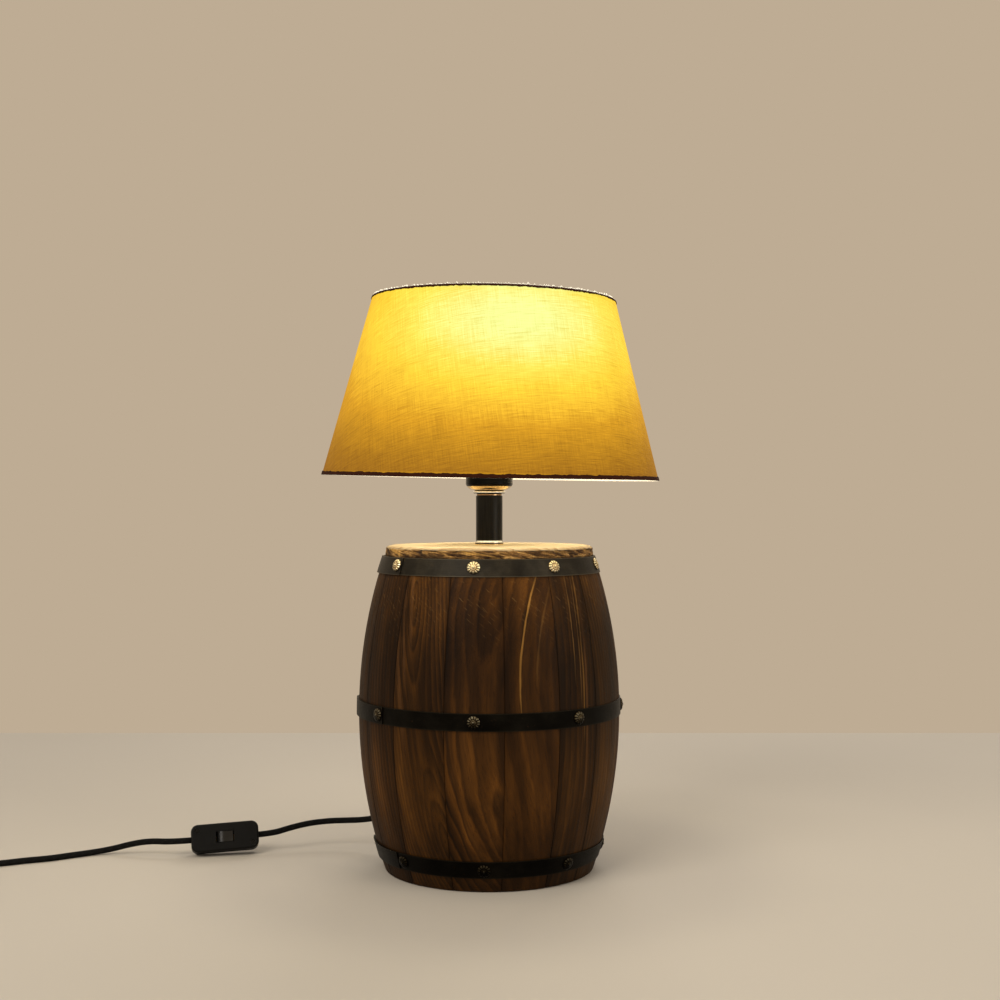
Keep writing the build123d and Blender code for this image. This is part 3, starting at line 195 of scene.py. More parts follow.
class Shader(NodeTree):
    """The nodes of a material. A colour is a value, or three numbers of 0 to 255."""

    def __init__(self, name):
        self.material = bpy.data.materials.new(name)
        super().__init__(self.material)
        self.surface = self.node("ShaderNodeBsdfPrincipled")
        self.node("ShaderNodeOutputMaterial", {"Surface": Value(self, self.surface.outputs["BSDF"])})
        coordinates = self.node("ShaderNodeTexCoord").outputs
        self.place = Value(self, coordinates["Object"])
        self.normal = Value(self, coordinates["Normal"])

    def colour(self, shade):
        return shade if isinstance(shade, Value) else rgb(*shade)

    def attribute(self, name, output="Vector"):
        return self.value("ShaderNodeAttribute", output=output, attribute_name=name)

    def vector(self, operation, first, second=(0.0, 0.0, 0.0), output="Vector"):
        return self.value("ShaderNodeVectorMath", (first, second), output, operation=operation)

    def parts(self, vector):
        return [Value(self, part) for part in self.node("ShaderNodeSeparateXYZ", (vector,)).outputs]

    def combine(self, x, y, z):
        return self.value("ShaderNodeCombineXYZ", (x, y, z))

    def turned(self, vector, angle):
        """The vector turned about the Z axis by an angle in degrees."""
        given = {"Vector": vector, "Angle": radians(angle)}
        return self.value("ShaderNodeVectorRotate", given, rotation_type="Z_AXIS")

    def noise(self, vector, scale, detail=2.0, roughness=0.5, distortion=0.0):
        given = dict(Vector=vector, Scale=scale, Detail=detail, Roughness=roughness, Distortion=distortion)
        return self.value("ShaderNodeTexNoise", given)

    def stretched_noise(self, vector, scales, detail=2.0, roughness=0.5, distortion=0.0):
        """Noise with its own number of features per metre along each axis."""
        return self.noise(self.vector("MULTIPLY", vector, scales), 1.0, detail, roughness, distortion)

    def span(self, value, low, high, out_low=0.0, out_high=1.0, kind="LINEAR"):
        """The value mapped from one range to another, and held inside it."""
        given = (value, low, high, out_low, out_high)
        return self.value("ShaderNodeMapRange", given, interpolation_type=kind)

    def ramp(self, value, stops, interpolation="LINEAR"):
        node = self.node("ShaderNodeValToRGB", (value,))
        ramp = node.color_ramp
        ramp.interpolation = interpolation
        while len(ramp.elements) < len(stops):
            ramp.elements.new(0.5)
        for element, (position, shade) in zip(ramp.elements, stops):
            element.position = position
            element.color = rgb(*shade)
        return Value(self, node.outputs["Color"])

    def mix(self, factor, first, second):
        given = {0: factor, 6: self.colour(first), 7: self.colour(second)}
        return self.value("ShaderNodeMix", given, 2, data_type="RGBA")

    def tinted(self, shade, tint, *span):
        """The colour with more of a tint where a value is higher: the value, its range and the shares."""
        return self.mix(self.span(*span), shade, tint)

    def dimmed(self, shade, factor):
        """The colour times a grey value."""
        if not isinstance(shade, Value):
            shade = rgb(*shade)[:3]
        return self.vector("MULTIPLY", shade, self.combine(factor, factor, factor))

    def dimmed_by(self, shade, *spans):
        """The colour times what each span gives: a value, its range and the factors there."""
        for span in spans:
            shade = self.dimmed(shade, self.span(*span))
        return shade

    def bump(self, height, distance):
        return self.value("ShaderNodeBump", {"Height": height, "Distance": distance, "Strength": 1.0})

    def finish(self, **sockets):
        """Sets the surface's sockets, named in words joined by underlines."""
        for name, value in sockets.items():
            given = self.colour(value) if name.endswith("Color") else value
            self.feed(self.surface.inputs[name.replace("_", " ")], given)
        return self.material


def dress(node, material):
    """Gives a node of the model one material."""
    slots = nodes[node].material_slots
    if not slots:
        nodes[node].data.materials.append(material)
    for slot in slots:
        slot.material = material


def dress_plain(names, material, dark, light, rough, metallic=0.0, scale=60.0, stretch=(1, 1, 1), bump=0.05,
                fine=900.0, **more):
    """Gives nodes soft patches between two colours, a fine grain in their gloss and a slight relief."""
    s = Shader(material)
    stretched = s.vector("MULTIPLY", s.place, stretch)
    patches = s.noise(stretched, scale, 4.0, 0.55)
    grain = s.noise(stretched, fine, 3.0, 0.6)
    tone = s.mix(s.span(patches, 0.3, 0.7), dark, light)
    gloss = s.span(patches + grain, 0.7, 1.3, rough[0], rough[1])
    s.finish(Base_Color=tone, Roughness=gloss, Metallic=metallic, Normal=s.bump(grain, bump * MM), **more)
    for name in names:
        dress(name, s.material)


# Wood of the staves


@dataclass
class Grain:
    """How a stave was cut from its tree, its colours, and the pale lines in it."""

    pith: tuple
    rings: float
    seed: float
    lean: float = 0.0
    high_bend: float = 0.0
    low_bend: float = 0.0
    dark: tuple = (38, 22, 5)
    light: tuple = (95, 58, 16)
    contrast: float = 0.65
    wander: float = 0.5
    lines: tuple = ()


@dataclass
class PaleLine:
    """A pale line along the grain: its side of the stave's middle, width, colour, strength and range."""

    side: float
    width: float
    tone: tuple
    strength: float
    low: float = 0.0
    high: float = 300.0


def stave_wood(name, azimuth, half_angle, grain):
    """Wood of one stave: soft rings about a pith, fibres, pores, uneven dark stain, dark joints and painted
    light and shade by height.
    """
    s = Shader(name)
    local = s.turned(s.place, -azimuth)
    out, across, up = s.parts(local)
    shift = (grain.seed, grain.seed * 1.7, grain.seed * 2.3)
    seeded = s.vector("ADD", local, shift)
    rise = up - belly_height
    above = s.math("MAXIMUM", rise, 0.0)
    below = s.math("MINIMUM", rise, 0.0)
    side = across + rise * grain.lean + above * above * grain.high_bend + below * below * grain.low_bend
    sway = s.stretched_noise(seeded, (20, 20, 6))
    side = side + (sway - 0.5) * (grain.wander * 14 * MM)
    seeded_along = s.vector("ADD", s.combine(out, side, up), shift)

    # Rings, which fade in and out
    pith_depth, pith_side = grain.pith
    from_pith = s.combine(out - (belly_radius - pith_depth * MM), side - pith_side * MM, 0.0)
    distance = s.vector("LENGTH", from_pith, output="Value")
    wobble = s.stretched_noise(seeded, (60, 60, 10), 3.0, 0.55)
    phase = s.math("FRACT", distance / (grain.rings * MM) + wobble * 1.1)
    middle = tuple((low + high) / 2 for low, high in zip(grain.dark, grain.light))
    ring_stops = [(0.0, grain.light), (0.45, middle), (0.8, grain.dark), (1.0, grain.light)]
    ring_tone = s.ramp(phase, ring_stops, "EASE")
    fade = s.stretched_noise(seeded, (26, 26, 11))
    tone = s.mix(s.span(fade, 0.35, 0.65, grain.contrast * 0.35, grain.contrast), middle, ring_tone)

    # Fibres and pores
    fibres = s.stretched_noise(seeded_along, (640, 640, 17), 4.0, 0.6)
    threads = s.stretched_noise(seeded_along, (240, 240, 6), 3.0, 0.55)
    bands = s.stretched_noise(seeded_along, (75, 75, 4))
    pore = s.span(s.stretched_noise(seeded_along, (1500, 1500, 42)), 0.6, 0.72)
    tone = s.dimmed_by(
        tone,
        (fibres, 0.25, 0.75, 0.82, 1.16),
        (threads, 0.3, 0.7, 0.78, 1.2),
        (bands, 0.32, 0.68, 0.66, 1.26),
        (pore, 0.0, 1.0, 1.0, 0.62),
    )
    line_end = 30
    for line in grain.lines:
        wide = s.span(threads + fibres, 0.75, 1.25, line.width * 0.35 * MM, line.width * MM)
        mark = s.span(abs(side - line.side * MM) / wide, 0.2, 1.4, line.strength, 0.0, "SMOOTHSTEP")
        starts = s.span(up, line.low * MM, (line.low + line_end) * MM)
        ends = s.span(up, (line.high - line_end) * MM, line.high * MM, 1.0, 0.0)
        mark = mark * (starts * ends) * s.span(fade, 0.36, 0.56, 0.3, 1.0)
        tone = s.mix(mark, tone, line.tone)

    # Stain: uneven blotches and patches, with pale scratches high up; painted light and shade by height,
    # darkest above the middle and at the foot
    blotches = s.stretched_noise(seeded, (17, 17, 9), 3.0, 0.6)
    tall_patches = s.stretched_noise(seeded, (44, 44, 7))
    painted_shade_height = 180 * MM
    tone = s.dimmed_by(
        tone,
        (blotches, 0.3, 0.7, 0.66, 1.24),
        (tall_patches, 0.34, 0.66, 0.72, 1.24),
        # painted shade above the middle, painted light above and below it
        (abs(up - painted_shade_height), 20 * MM, 100 * MM, 0.7, 1.3, "SMOOTHSTEP"),
        # painted shadow at the foot
        (up, 6 * MM, 85 * MM, 0.42, 1.0, "SMOOTHSTEP"),
    )
    scratch_slope = 48
    slanted = s.turned(s.combine(up, across, out), scratch_slope)
    scratch = s.span(s.stretched_noise(slanted, (90, 1500, 100)), 0.66, 0.72)
    tone = s.mix(scratch * s.span(up, 190 * MM, 240 * MM, 0.0, 0.3), tone, (172, 130, 74))

    # Joints
    turn = abs(s.math("ARCTAN2", across, out))
    ragged = (radians(half_angle) - turn) * belly_radius + (threads - 0.5) * (1.2 * MM)
    tone = s.dimmed_by(
        tone,
        (ragged, 0.0, 1.0 * MM, 0.8, 1.0),
        (ragged, 0.0, 8.0 * MM, 0.68, 1.04, "SMOOTHSTEP"),
    )
    gloss = s.span(fibres + threads, 0.75, 1.25, 0.5, 0.68)
    relief = s.bump(fibres * 0.35 + pore * -0.6 + phase * -0.12, 0.3 * MM)
    return s.finish(Base_Color=tone, Roughness=gloss, Normal=relief, Specular_IOR_Level=0.09)


golden = (176, 126, 62)
bright_gold = (174, 124, 56)
pale_brown = (138, 92, 50)
grains = [
    Grain((13, 3), 3.4, 1.1, lean=0.13, low_bend=-0.4, contrast=0.7, wander=0.7, lines=[
        PaleLine(-15, 3.2, pale_brown, 0.42, 110, 260),
        PaleLine(-8, 2.4, pale_brown, 0.34, 160, 280),
        PaleLine(0, 2.8, pale_brown, 0.3, 190, 290),
    ]),
    Grain((16, 9), 8.5, 2.3, lean=0.05, high_bend=-0.9, low_bend=-2.2, contrast=0.8, wander=0.8,
          dark=(35, 20, 5), light=(90, 54, 15)),
    Grain((34, 48), 12.0, 3.7, lean=0.13, high_bend=-2.3, low_bend=-0.7, contrast=0.45,
          dark=(45, 26, 6), light=(96, 58, 16), lines=[
        PaleLine(-8.5, 1.3, bright_gold, 0.8, 140, 285),
        PaleLine(6, 1.4, golden, 0.25, 170, 280),
    ]),
    Grain((12, -46), 6.0, 4.9, lean=-0.02, contrast=0.55, dark=(32, 19, 5), light=(83, 51, 15), lines=[
        PaleLine(-4.0, 1.0, golden, 0.5, 170, 285),
        PaleLine(2.5, 0.9, golden, 0.45, 150, 280),
        PaleLine(6.0, 1.2, bright_gold, 0.5, 120, 285),
        PaleLine(9.5, 2.0, pale_brown, 0.4, 20, 250),
    ]),
    Grain((14, 48), 4.6, 5.2, lean=0.03, contrast=0.55, dark=(35, 22, 6), light=(92, 57, 17)),
    Grain((20, -8), 6.5, 6.6, lean=0.07, high_bend=-0.6, contrast=0.7),
    Grain((12, 40), 4.8, 7.1, lean=-0.05, lines=[PaleLine(6, 1.1, golden, 0.5, 60, 240)]),
    Grain((18, 3), 7.2, 8.4, lean=-0.09, low_bend=1.4, contrast=0.75, light=(101, 62, 18)),
    Grain((9, -38), 4.4, 9.8, lean=0.02, dark=(34, 21, 5), light=(86, 55, 16)),
    Grain((24, 12), 7.6, 10.5, lean=0.12, high_bend=1.2, contrast=0.7, light=(97, 59, 16)),
    Grain((11, 44), 4.6, 11.9, lean=-0.03, lines=[PaleLine(-7, 1.0, golden, 0.5, 120, 270)]),
    Grain((15, -5), 6.8, 12.2, lean=-0.06, low_bend=-1.6, contrast=0.75, light=(100, 61, 18)),
    Grain((10, 42), 4.3, 13.6, lean=0.04, dark=(35, 21, 5), light=(86, 52, 16)),
    Grain((9, 36), 4.0, 14.3, lean=0.02, contrast=0.5, dark=(34, 21, 5), light=(85, 51, 16)),
    Grain((8, -40), 4.2, 15.7, lean=0.05, contrast=0.5, dark=(31, 19, 5), light=(81, 48, 15)),
]
share_sum = sum(stave_shares)
stave_start = first_joint_angle - 90
for number, (share, grain) in enumerate(zip(stave_shares, grains), start=1):
    stave_angle = 360 * share / share_sum
    wood = stave_wood(f"stave_wood_{number:02d}", stave_start + stave_angle / 2, stave_angle / 2, grain)
    dress(f"stave_{number:02d}", wood)
    stave_start += stave_angle


# Pieces that are built here


def make_piece(name, points, faces, material, replaced):
    """A smooth mesh piece that rides on its body and stands for the nodes that it replaces."""
    mesh = bpy.data.meshes.new(name)
    mesh.from_pydata(points, [], faces)
    mesh.materials.append(material)
    mesh.shade_smooth()
    piece = placed(name, mesh)
    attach(piece, body_of[replaced[0]])
    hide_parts(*replaced)
    return piece


def keep_vectors(piece, name, vectors):
    """Stores a vector for each point of a mesh, for its material."""
    made = piece.data.attributes.new(name, "FLOAT_VECTOR", "POINT")
    made.data.foreach_set("vector", [part for vector in vectors for part in vector])


def keep_values(piece, name, values):
    """Stores a number for each point of a mesh, for its material."""
    piece.data.attributes.new(name, "FLOAT", "POINT").data.foreach_set("value", list(values))


def ring_faces(ring_count, per_ring, first=0, closed=False):
    """Faces between rings of points that each close on themselves."""
    faces = []
    for ring in range(ring_count if closed else ring_count - 1):
        low = first + ring * per_ring
        high = first + (ring + 1) % ring_count * per_ring
        for index in range(per_ring):
            following = (index + 1) % per_ring
            faces.append((low + index, low + following, high + following, high + index))
    return faces


# The lead


def smooth_path(name, points):
    """Points along the smooth spline that a route's control points give."""
    curve = bpy.data.curves.new(name, "CURVE")
    curve.dimensions = "3D"
    curve.resolution_u = 12
    spline = curve.splines.new("NURBS")
    spline.points.add(len(points) - 1)
    for control, place in zip(spline.points, points):
        control.co = (*place, 1.0)
    spline.order_u = 3
    spline.use_endpoint_u = True
    guide = bpy.data.objects.new(name, curve)
    line = bpy.data.meshes.new_from_object(guide)
    path = [vertex.co.copy() for vertex in line.vertices]
    bpy.data.objects.remove(guide)
    bpy.data.meshes.remove(line)
    return path


def braided_tube(name, path, material, replaced):
    """A round cord along a path. Its points keep where they are round and along it, for the braid."""
    sides = 14
    points = []
    places = []
    run = 0.0
    along = (path[1] - path[0]).normalized()
    beside = along.orthogonal().normalized()
    for index, place in enumerate(path):
        before = path[max(index - 1, 0)]
        after = path[min(index + 1, len(path) - 1)]
        ahead = (after - before).normalized()
        beside = along.rotation_difference(ahead) @ beside
        beside = (beside - ahead * beside.dot(ahead)).normalized()
        along = ahead
        above = along.cross(beside)
        run += (place - before).length
        for side in range(sides):
            angle = 2 * pi * side / sides
            points.append(place + (beside * cos(angle) + above * sin(angle)) * cord_radius)
            places.append((cos(angle), sin(angle), run))
    faces = ring_faces(len(path), sides)
    last = len(points) - sides
    faces.append(tuple(reversed(range(sides))))
    faces.append(tuple(range(last, last + sides)))
    piece = make_piece(name, points, faces, material, replaced)
    keep_vectors(piece, "braid", places)
    return piece


def braid_material():
    """Black textile braid: two sets of strands that wind round the cord and cross over and under."""
    strands = 8
    strand_pitch = 2 * pi * cord_radius / strands
    s = Shader("cord_braid_weave")
    cosine, sine, run = s.parts(s.attribute("braid"))
    turn = s.math("ARCTAN2", sine, cosine) * (strands / (2 * pi))
    climb = run / strand_pitch
    right = turn + climb
    left = turn - climb
    heights = []
    for strand in (right, left):
        from_middle = abs(s.math("FRACT", strand) - 0.5)
        heights.append(s.math("SQRT", s.math("SUBTRACT", 1.0, from_middle * 1.9, clamp=True)))
    over = s.math("PINGPONG", s.math("FLOOR", right) + s.math("FLOOR", left), 1.0)
    height = heights[1] + over * (heights[0] - heights[1])
    fibre = s.noise(s.place, 2600.0, 2.0, 0.6)
    tracer = s.math("GREATER_THAN", s.math("FRACT", right / 4.0), 0.75) * over
    # Painted shade in the grooves between strands, lighter on their crowns
    tone = s.ramp(height, [(0.0, (3, 3, 2)), (0.55, (9, 9, 8)), (1.0, (19, 18, 16))])
    tone = s.dimmed_by(s.mix(tracer * 0.5, tone, (36, 34, 31)), (fibre, 0.3, 0.7, 0.7, 1.3))
    relief = s.bump(height + fibre * 0.2, 0.35 * MM)
    return s.finish(Base_Color=tone, Roughness=0.8, Normal=relief, Specular_IOR_Level=0.12)


def route(*places):
    """Control points from places in millimetres."""
    return [Vector(place) * MM for place in places]


braid = braid_material()
relief_end = Vector((-105.694, 61.022, 29.093)) * MM
lamp_side_route = [relief_end] + route(
    (-117.45, 67.81, 25.66),
    (-134.5, 70.5, 24.6),
    (-152.0, 70.0, 24.2),
    (-170.5, 65.0, 23.0),
    (-187.5, 58.0, 20.0),
    (-201.385, 50.762, 16.805),
    (-219.94, 46.743, 16.057),
)
lamp_side_path = smooth_path("lamp_side_route", lamp_side_route)
lamp_side = braided_tube("lead_lamp_side", lamp_side_path, braid, ["cord_lamp_side"])

# The coil of the length that is put away: a flat spiral in and a second one out on top of it
coil_centre = Vector((-482, -56, 0)) * MM
coil_outer_radius = 41.5 * MM
coil_pitch = 6.2 * MM
coil_low = 3.55 * MM
coil_rise = 6.2 * MM
turns_in = 3.25
turns_up = 0.5
turns_out = 3.5
coil_turns = turns_in + turns_up + turns_out
coil_inner_radius = coil_outer_radius - coil_pitch * turns_in
climb_dip = 1.6 * MM
tail_swell = 1.5 * MM
swell_turns = 0.25
points_per_turn = 16


def coil_point(turn):
    """Point of the coil's middle line after a number of turns."""
    if turn < turns_in:
        radius = coil_outer_radius - coil_pitch * turn
        height = coil_low
    elif turn < turns_in + turns_up:
        share = (turn - turns_in) / turns_up
        radius = coil_inner_radius - climb_dip * sin(pi * share) ** 2
        height = coil_low + coil_rise * ease(share)
    else:
        radius = coil_inner_radius + coil_pitch * (turn - turns_in - turns_up)
        height = coil_low + coil_rise
    radius += tail_swell * ease((turn - coil_turns + swell_turns) / swell_turns)
    return coil_centre + direction(90 + 360 * turn) * radius + Vector((0, 0, height))


coil_start = coil_point(0)
start_tangent = (coil_point(0.0005) - coil_start).normalized()
coil_entry = coil_start - start_tangent * (2 * cord_radius)
plug_axis_x = -527 * MM
plug_axis_height = 6.85 * MM
tail_foot = Vector((plug_axis_x, coil_point(coil_turns).y - 30 * MM, plug_axis_height))
cord_end = tail_foot + Vector((0, -2 * cord_radius, 0))
free_route = route(
    (-267.792, 36.379, 14.129),
    (-290.25, 31.51, 13.22),
    (-312.0, 36.5, 13.0),
    (-330.0, 39.5, 9.5),
    (-346.0, 41.0, 5.0),
    (-362.0, 37.0, 2.75),
    (-380.0, 25.0, 2.75),
    (-397.0, 12.5, 2.75),
    (-417.0, 5.0, 2.75),
    (-437.0, -7.0, 2.75),
) + [coil_entry - start_tangent * (18 * MM), coil_entry]
point_count = ceil(coil_turns * points_per_turn) + 1
coil_route = [coil_point(index / points_per_turn) for index in range(point_count)]
tail_route = [coil_route[-1].lerp(tail_foot, 0.4), tail_foot, cord_end]
free_path = smooth_path("free_route", free_route + coil_route + tail_route)
free_lead = braided_tube("lead_free", free_path, braid, ["cord_free", "cord_coil"])


def tie_piece(material):
    """The coil's tie: a woven band in a rounded loop round the bundle of turns."""
    azimuth = -45.0
    width = 10 * MM
    thickness = 0.55 * MM
    along = direction(azimuth)
    beside = direction(azimuth - 90)
    low = 0.72 * MM
    high = 12.65 * MM
    inner = 17.5 * MM
    outer = 42.3 * MM
    corner = 2.6 * MM
    corner_steps = 8
    rim = []
    for centre_reach, centre_height, start in (
        (outer - corner, low + corner, -90),
        (outer - corner, high - corner, 0),
        (inner + corner, high - corner, 90),
        (inner + corner, low + corner, 180),
    ):
        for step in range(corner_steps + 1):
            angle = radians(start + 90 * step / corner_steps)
            rim.append((centre_reach, centre_height, cos(angle), sin(angle)))
    across = 6
    points = []
    for layer_lift in (0.0, thickness):
        for column in range(across + 1):
            share = column / across * 2 - 1
            lift = layer_lift - 0.12 * MM * abs(share) ** 3 * (1 if layer_lift else 0)
            for reach, height, level, upright in rim:
                at = coil_centre + along * (reach + level * (corner + lift)) + beside * (share * width / 2)
                points.append(at + Vector((0, 0, height + upright * (corner + lift))))
    size = len(rim)
    upper = (across + 1) * size
    layer = ring_faces(across + 1, size)
    faces = layer + [tuple(upper + corner_point for corner_point in reversed(face)) for face in layer]
    for first in (0, across * size):
        for index in range(size):
            here = first + index
            following = first + (index + 1) % size
            edge = (here, upper + here, upper + following, following)
            faces.append(tuple(reversed(edge)) if first else edge)
    return make_piece("coil_tie", points, faces, material, ["cord_tie"])


def woven_band(name, dark, light, pitch, lit=None):
    """Plain-woven tape with fuzz. Where a tape's mesh says that it faces the lamp, it can get a painted
    pale tint and a painted glow.
    """
    s = Shader(name)
    waves = [s.math("SINE", part * (2 * pi / pitch)) for part in s.parts(s.place)]
    weave = (waves[0] + waves[1]) * waves[2]
    fuzz = s.noise(s.place, 1800.0, 3.0, 0.65)
    patches = s.noise(s.place, 90.0, 3.0, 0.6)
    tone = s.mix(s.span(fuzz * 0.6 + patches * 0.4 + weave * 0.18, 0.25, 0.8), dark, light)
    if lit:
        inside = s.attribute("inside", "Fac")
        # Painted light: the inner side, facing the bulb, is tinted pale and glows
        tone = s.mix(inside, tone, (226, 220, 204))
        glow = s.dimmed(lit, inside * s.span(fuzz, 0.3, 0.7, 0.8, 1.05))
        s.finish(Emission_Color=glow, Emission_Strength=1.0)
    relief = s.bump(weave * 0.3 + fuzz, 0.25 * MM)
    return s.finish(Base_Color=tone, Roughness=0.9, Normal=relief, Specular_IOR_Level=0.15)


tie = tie_piece(woven_band("tie_weave", (16, 16, 17), (44, 44, 46), 1.1 * MM))

# The lead inside the barrel and the rod
exit_axis = Vector((-0.83955, 0.48472, -0.24535))
gland_side = direction(150)
turn_reach = 20 * MM
turn_share = (turn_reach - relief_end.dot(gland_side)) / exit_axis.dot(gland_side)
inner_route = [relief_end, relief_end + exit_axis * turn_share] + route((0, 0, 110), (0, 0, 343))
inner_path = smooth_path("inner_route", inner_route)
braided_tube("lead_inside", inner_path, braid, ["inner_cord"])


# Top board, with a worn upper face and a rough, chipped rim


def ring_noise(azimuth, scale, seed, octaves=3):
    """Noise from -1 to 1 that closes round the barrel."""
    at = direction(azimuth) * scale
    return noise.fractal(Vector((at.x, at.y, seed)), 0.6, 2.1, octaves)


def board_profile(azimuth):
    """Points of the board's section at an azimuth, from its hole over the top and down to the spigot."""
    edge = ring_noise(azimuth, 4.0, 3.1)
    ragged = ring_noise(azimuth, 26.0, 7.7, 4)
    worn = 0.5 + 0.5 * ring_noise(azimuth, 6.0, 21.3)
    chip = max(0.0, ring_noise(azimuth, 9.0, 12.4) - 0.18)
    notch_azimuth = 228
    notch_half_width = 3.2
    notch_off = (azimuth - notch_azimuth + 180) % 360 - 180
    notch = max(0.0, 1 - abs(notch_off) / notch_half_width)
    bite = (0.5 + 0.9 * edge + 0.5 * ragged + 3.0 * chip + 2.2 * notch) * MM
    bite = min(max(bite, 0.15 * MM), 3.6 * MM)
    rim = board_radius - bite
    flat_radii = (board_hole_radius, 14 * MM, 30 * MM, 48 * MM, 64 * MM, 74 * MM, 80 * MM)
    profile = [(radius, board_top) for radius in flat_radii]
    profile.append((rim - 5.0 * MM, board_top - 0.1 * MM))
    profile.append((rim - 2.6 * MM, board_top - (0.4 + 0.4 * worn) * MM))
    profile.append((rim - 0.8 * MM, board_top - (1.0 + 0.9 * worn + 0.25 * abs(ragged)) * MM))
    levels = 9
    for level in range(levels):
        share = (level + 0.6) / levels
        height = board_top - 2.3 * MM - share * (board_top - stave_top - 2.4 * MM)
        at = direction(azimuth) * 17
        rough = noise.fractal(Vector((at.x, at.y, share * 2.4)), 0.7, 2.2, 4)
        inset = bite * (1 - ease(share * 1.35)) + max(0.0, 0.35 + 0.8 * rough) * MM
        profile.append((board_radius - min(inset, 4 * MM), height))
    seat = stave_top + 0.01 * MM
    profile += [(board_radius - 0.3 * MM, seat), (spigot_radius, seat)]
    return profile + [(spigot_radius, spigot_foot), (board_hole_radius, spigot_foot)]


def board_wood():
    """Pale worn wood with faint long streaks on top. The rim is dark torn fibres with golden patches."""
    s = Shader("top_board_wood")
    x, y, z = s.parts(s.place)
    radius = s.vector("LENGTH", s.combine(x, y, 0.0), output="Value")
    turned = s.turned(s.place, 12)
    sway = s.stretched_noise(turned, (7, 30, 30))
    rings = s.ramp(s.math("FRACT", s.parts(turned)[1] * 118.0 + sway * 2.6), [
        (0.0, (226, 206, 166)),
        (0.6, (216, 193, 150)),
        (0.9, (184, 154, 108)),
        (1.0, (224, 203, 163)),
    ])
    fibres = s.stretched_noise(turned, (14, 420, 420), 4.0, 0.6)
    stains = s.noise(s.place, 22.0, 4.0, 0.6)
    top = s.dimmed_by(rings, (fibres, 0.25, 0.75, 0.88, 1.05))
    top = s.tinted(top, (188, 156, 110), stains, 0.52, 0.72, 0.0, 0.35)
    top = s.tinted(top, (158, 118, 70), radius + stains * (5 * MM), 88 * MM, 94.5 * MM, 0.0, 0.5)

    # Rim
    around = s.math("ARCTAN2", y, x) * board_radius
    slant = s.combine(around + z * 3.4, z, radius)
    torn = s.stretched_noise(slant, (80, 300, 120), 5.0, 0.66, 0.8)
    upright = s.stretched_noise(s.combine(around, z, radius), (700, 60, 60), 3.0, 0.6)
    patches = s.stretched_noise(slant, (26, 60, 40), 3.0, 0.55, 0.5)
    cracks = s.stretched_noise(slant, (34, 520, 120), 3.0, 0.6, 1.4)
    bark = s.ramp(torn, [
        (0.36, (34, 21, 10)),
        (0.46, (86, 58, 29)),
        (0.54, (150, 110, 58)),
        (0.64, (214, 168, 98)),
    ])
    bark = s.tinted(bark, (214, 164, 82), patches, 0.54, 0.62, 0.0, 0.85)
    bark = s.tinted(bark, (50, 33, 17), patches, 0.44, 0.36, 0.0, 0.75)
    bark = s.dimmed_by(bark, (upright, 0.3, 0.7, 0.75, 1.15))
    bark = s.tinted(bark, (24, 15, 9), cracks, 0.6, 0.66, 0.0, 0.9)
    # Painted shade where the rim meets the staves' tops
    bark = s.dimmed_by(bark, (z, stave_top, stave_top + 1.4 * MM, 0.4, 1.0))
    on_top = s.span(z + (torn - 0.5) * (2.4 * MM), board_top - 2.8 * MM, board_top - 2.1 * MM)
    return s.finish(
        Base_Color=s.mix(on_top, bark, top),
        Roughness=s.span(on_top, 0.0, 1.0, 0.88, 0.62),
        Normal=s.bump(torn * (1.0 - on_top) + fibres * 0.15, 1.3 * MM),
        Specular_IOR_Level=0.3,
    )


def build_board():
    steps = 540
    points = []
    for step in range(steps):
        azimuth = 360 * step / steps
        level = direction(azimuth)
        for radius, height in board_profile(azimuth):
            points.append(level * radius + Vector((0, 0, height)))
    per_ring = len(points) // steps
    faces = ring_faces(steps, per_ring, closed=True)
    return make_piece("worn_top_board", points, faces, board_wood(), ["top_board"])


build_board()


# Hoops, with worn edges, and their nails


def hoop_steel(name, height, level):
    """Dark steel strip at a height: mottled charcoal, rubbed edges, fine scratches, a few rust freckles;
    its level paints light or shade.
    """
    s = Shader(name)
    x, y, z = s.parts(s.place)
    strip = s.combine(s.math("ARCTAN2", y, x) * belly_radius, z, 0.0)
    patches = s.noise(s.place, 34.0, 5.0, 0.6)
    scratches = s.stretched_noise(strip, (60, 1400, 1), 3.0, 0.6)
    grain = s.noise(s.place, 1100.0, 3.0, 0.6)
    rust = s.noise(s.place, 260.0, 4.0, 0.7)
    tone = s.ramp(patches, [(0.3, (38, 34, 28)), (0.5, (56, 51, 42)), (0.72, (82, 75, 62))])
    # Painted light and shade: the hoop's level scales this tone, the rubbed edges and the gloss.
    tone = s.dimmed_by(tone, (scratches, 0.3, 0.7, 0.85 * level, 1.15 * level))
    edge = hoop_width / 2
    worn = abs(z - height) + (grain - 0.5) * (0.8 * MM)
    tone = s.tinted(tone, (118, 108, 88), worn, edge - 0.8 * MM, edge - 0.2 * MM, 0.0, 0.5 * level)
    tone = s.tinted(tone, (66, 46, 32), rust, 0.66, 0.74, 0.0, 0.4)
    return s.finish(
        Base_Color=tone,
        Roughness=s.span(patches + grain, 0.75, 1.25, 0.4, 0.6),
        Metallic=0.6,
        Normal=s.bump(patches * 1.4 + grain * 0.25, 0.3 * MM),
        Specular_IOR_Level=0.3 * level,
    )


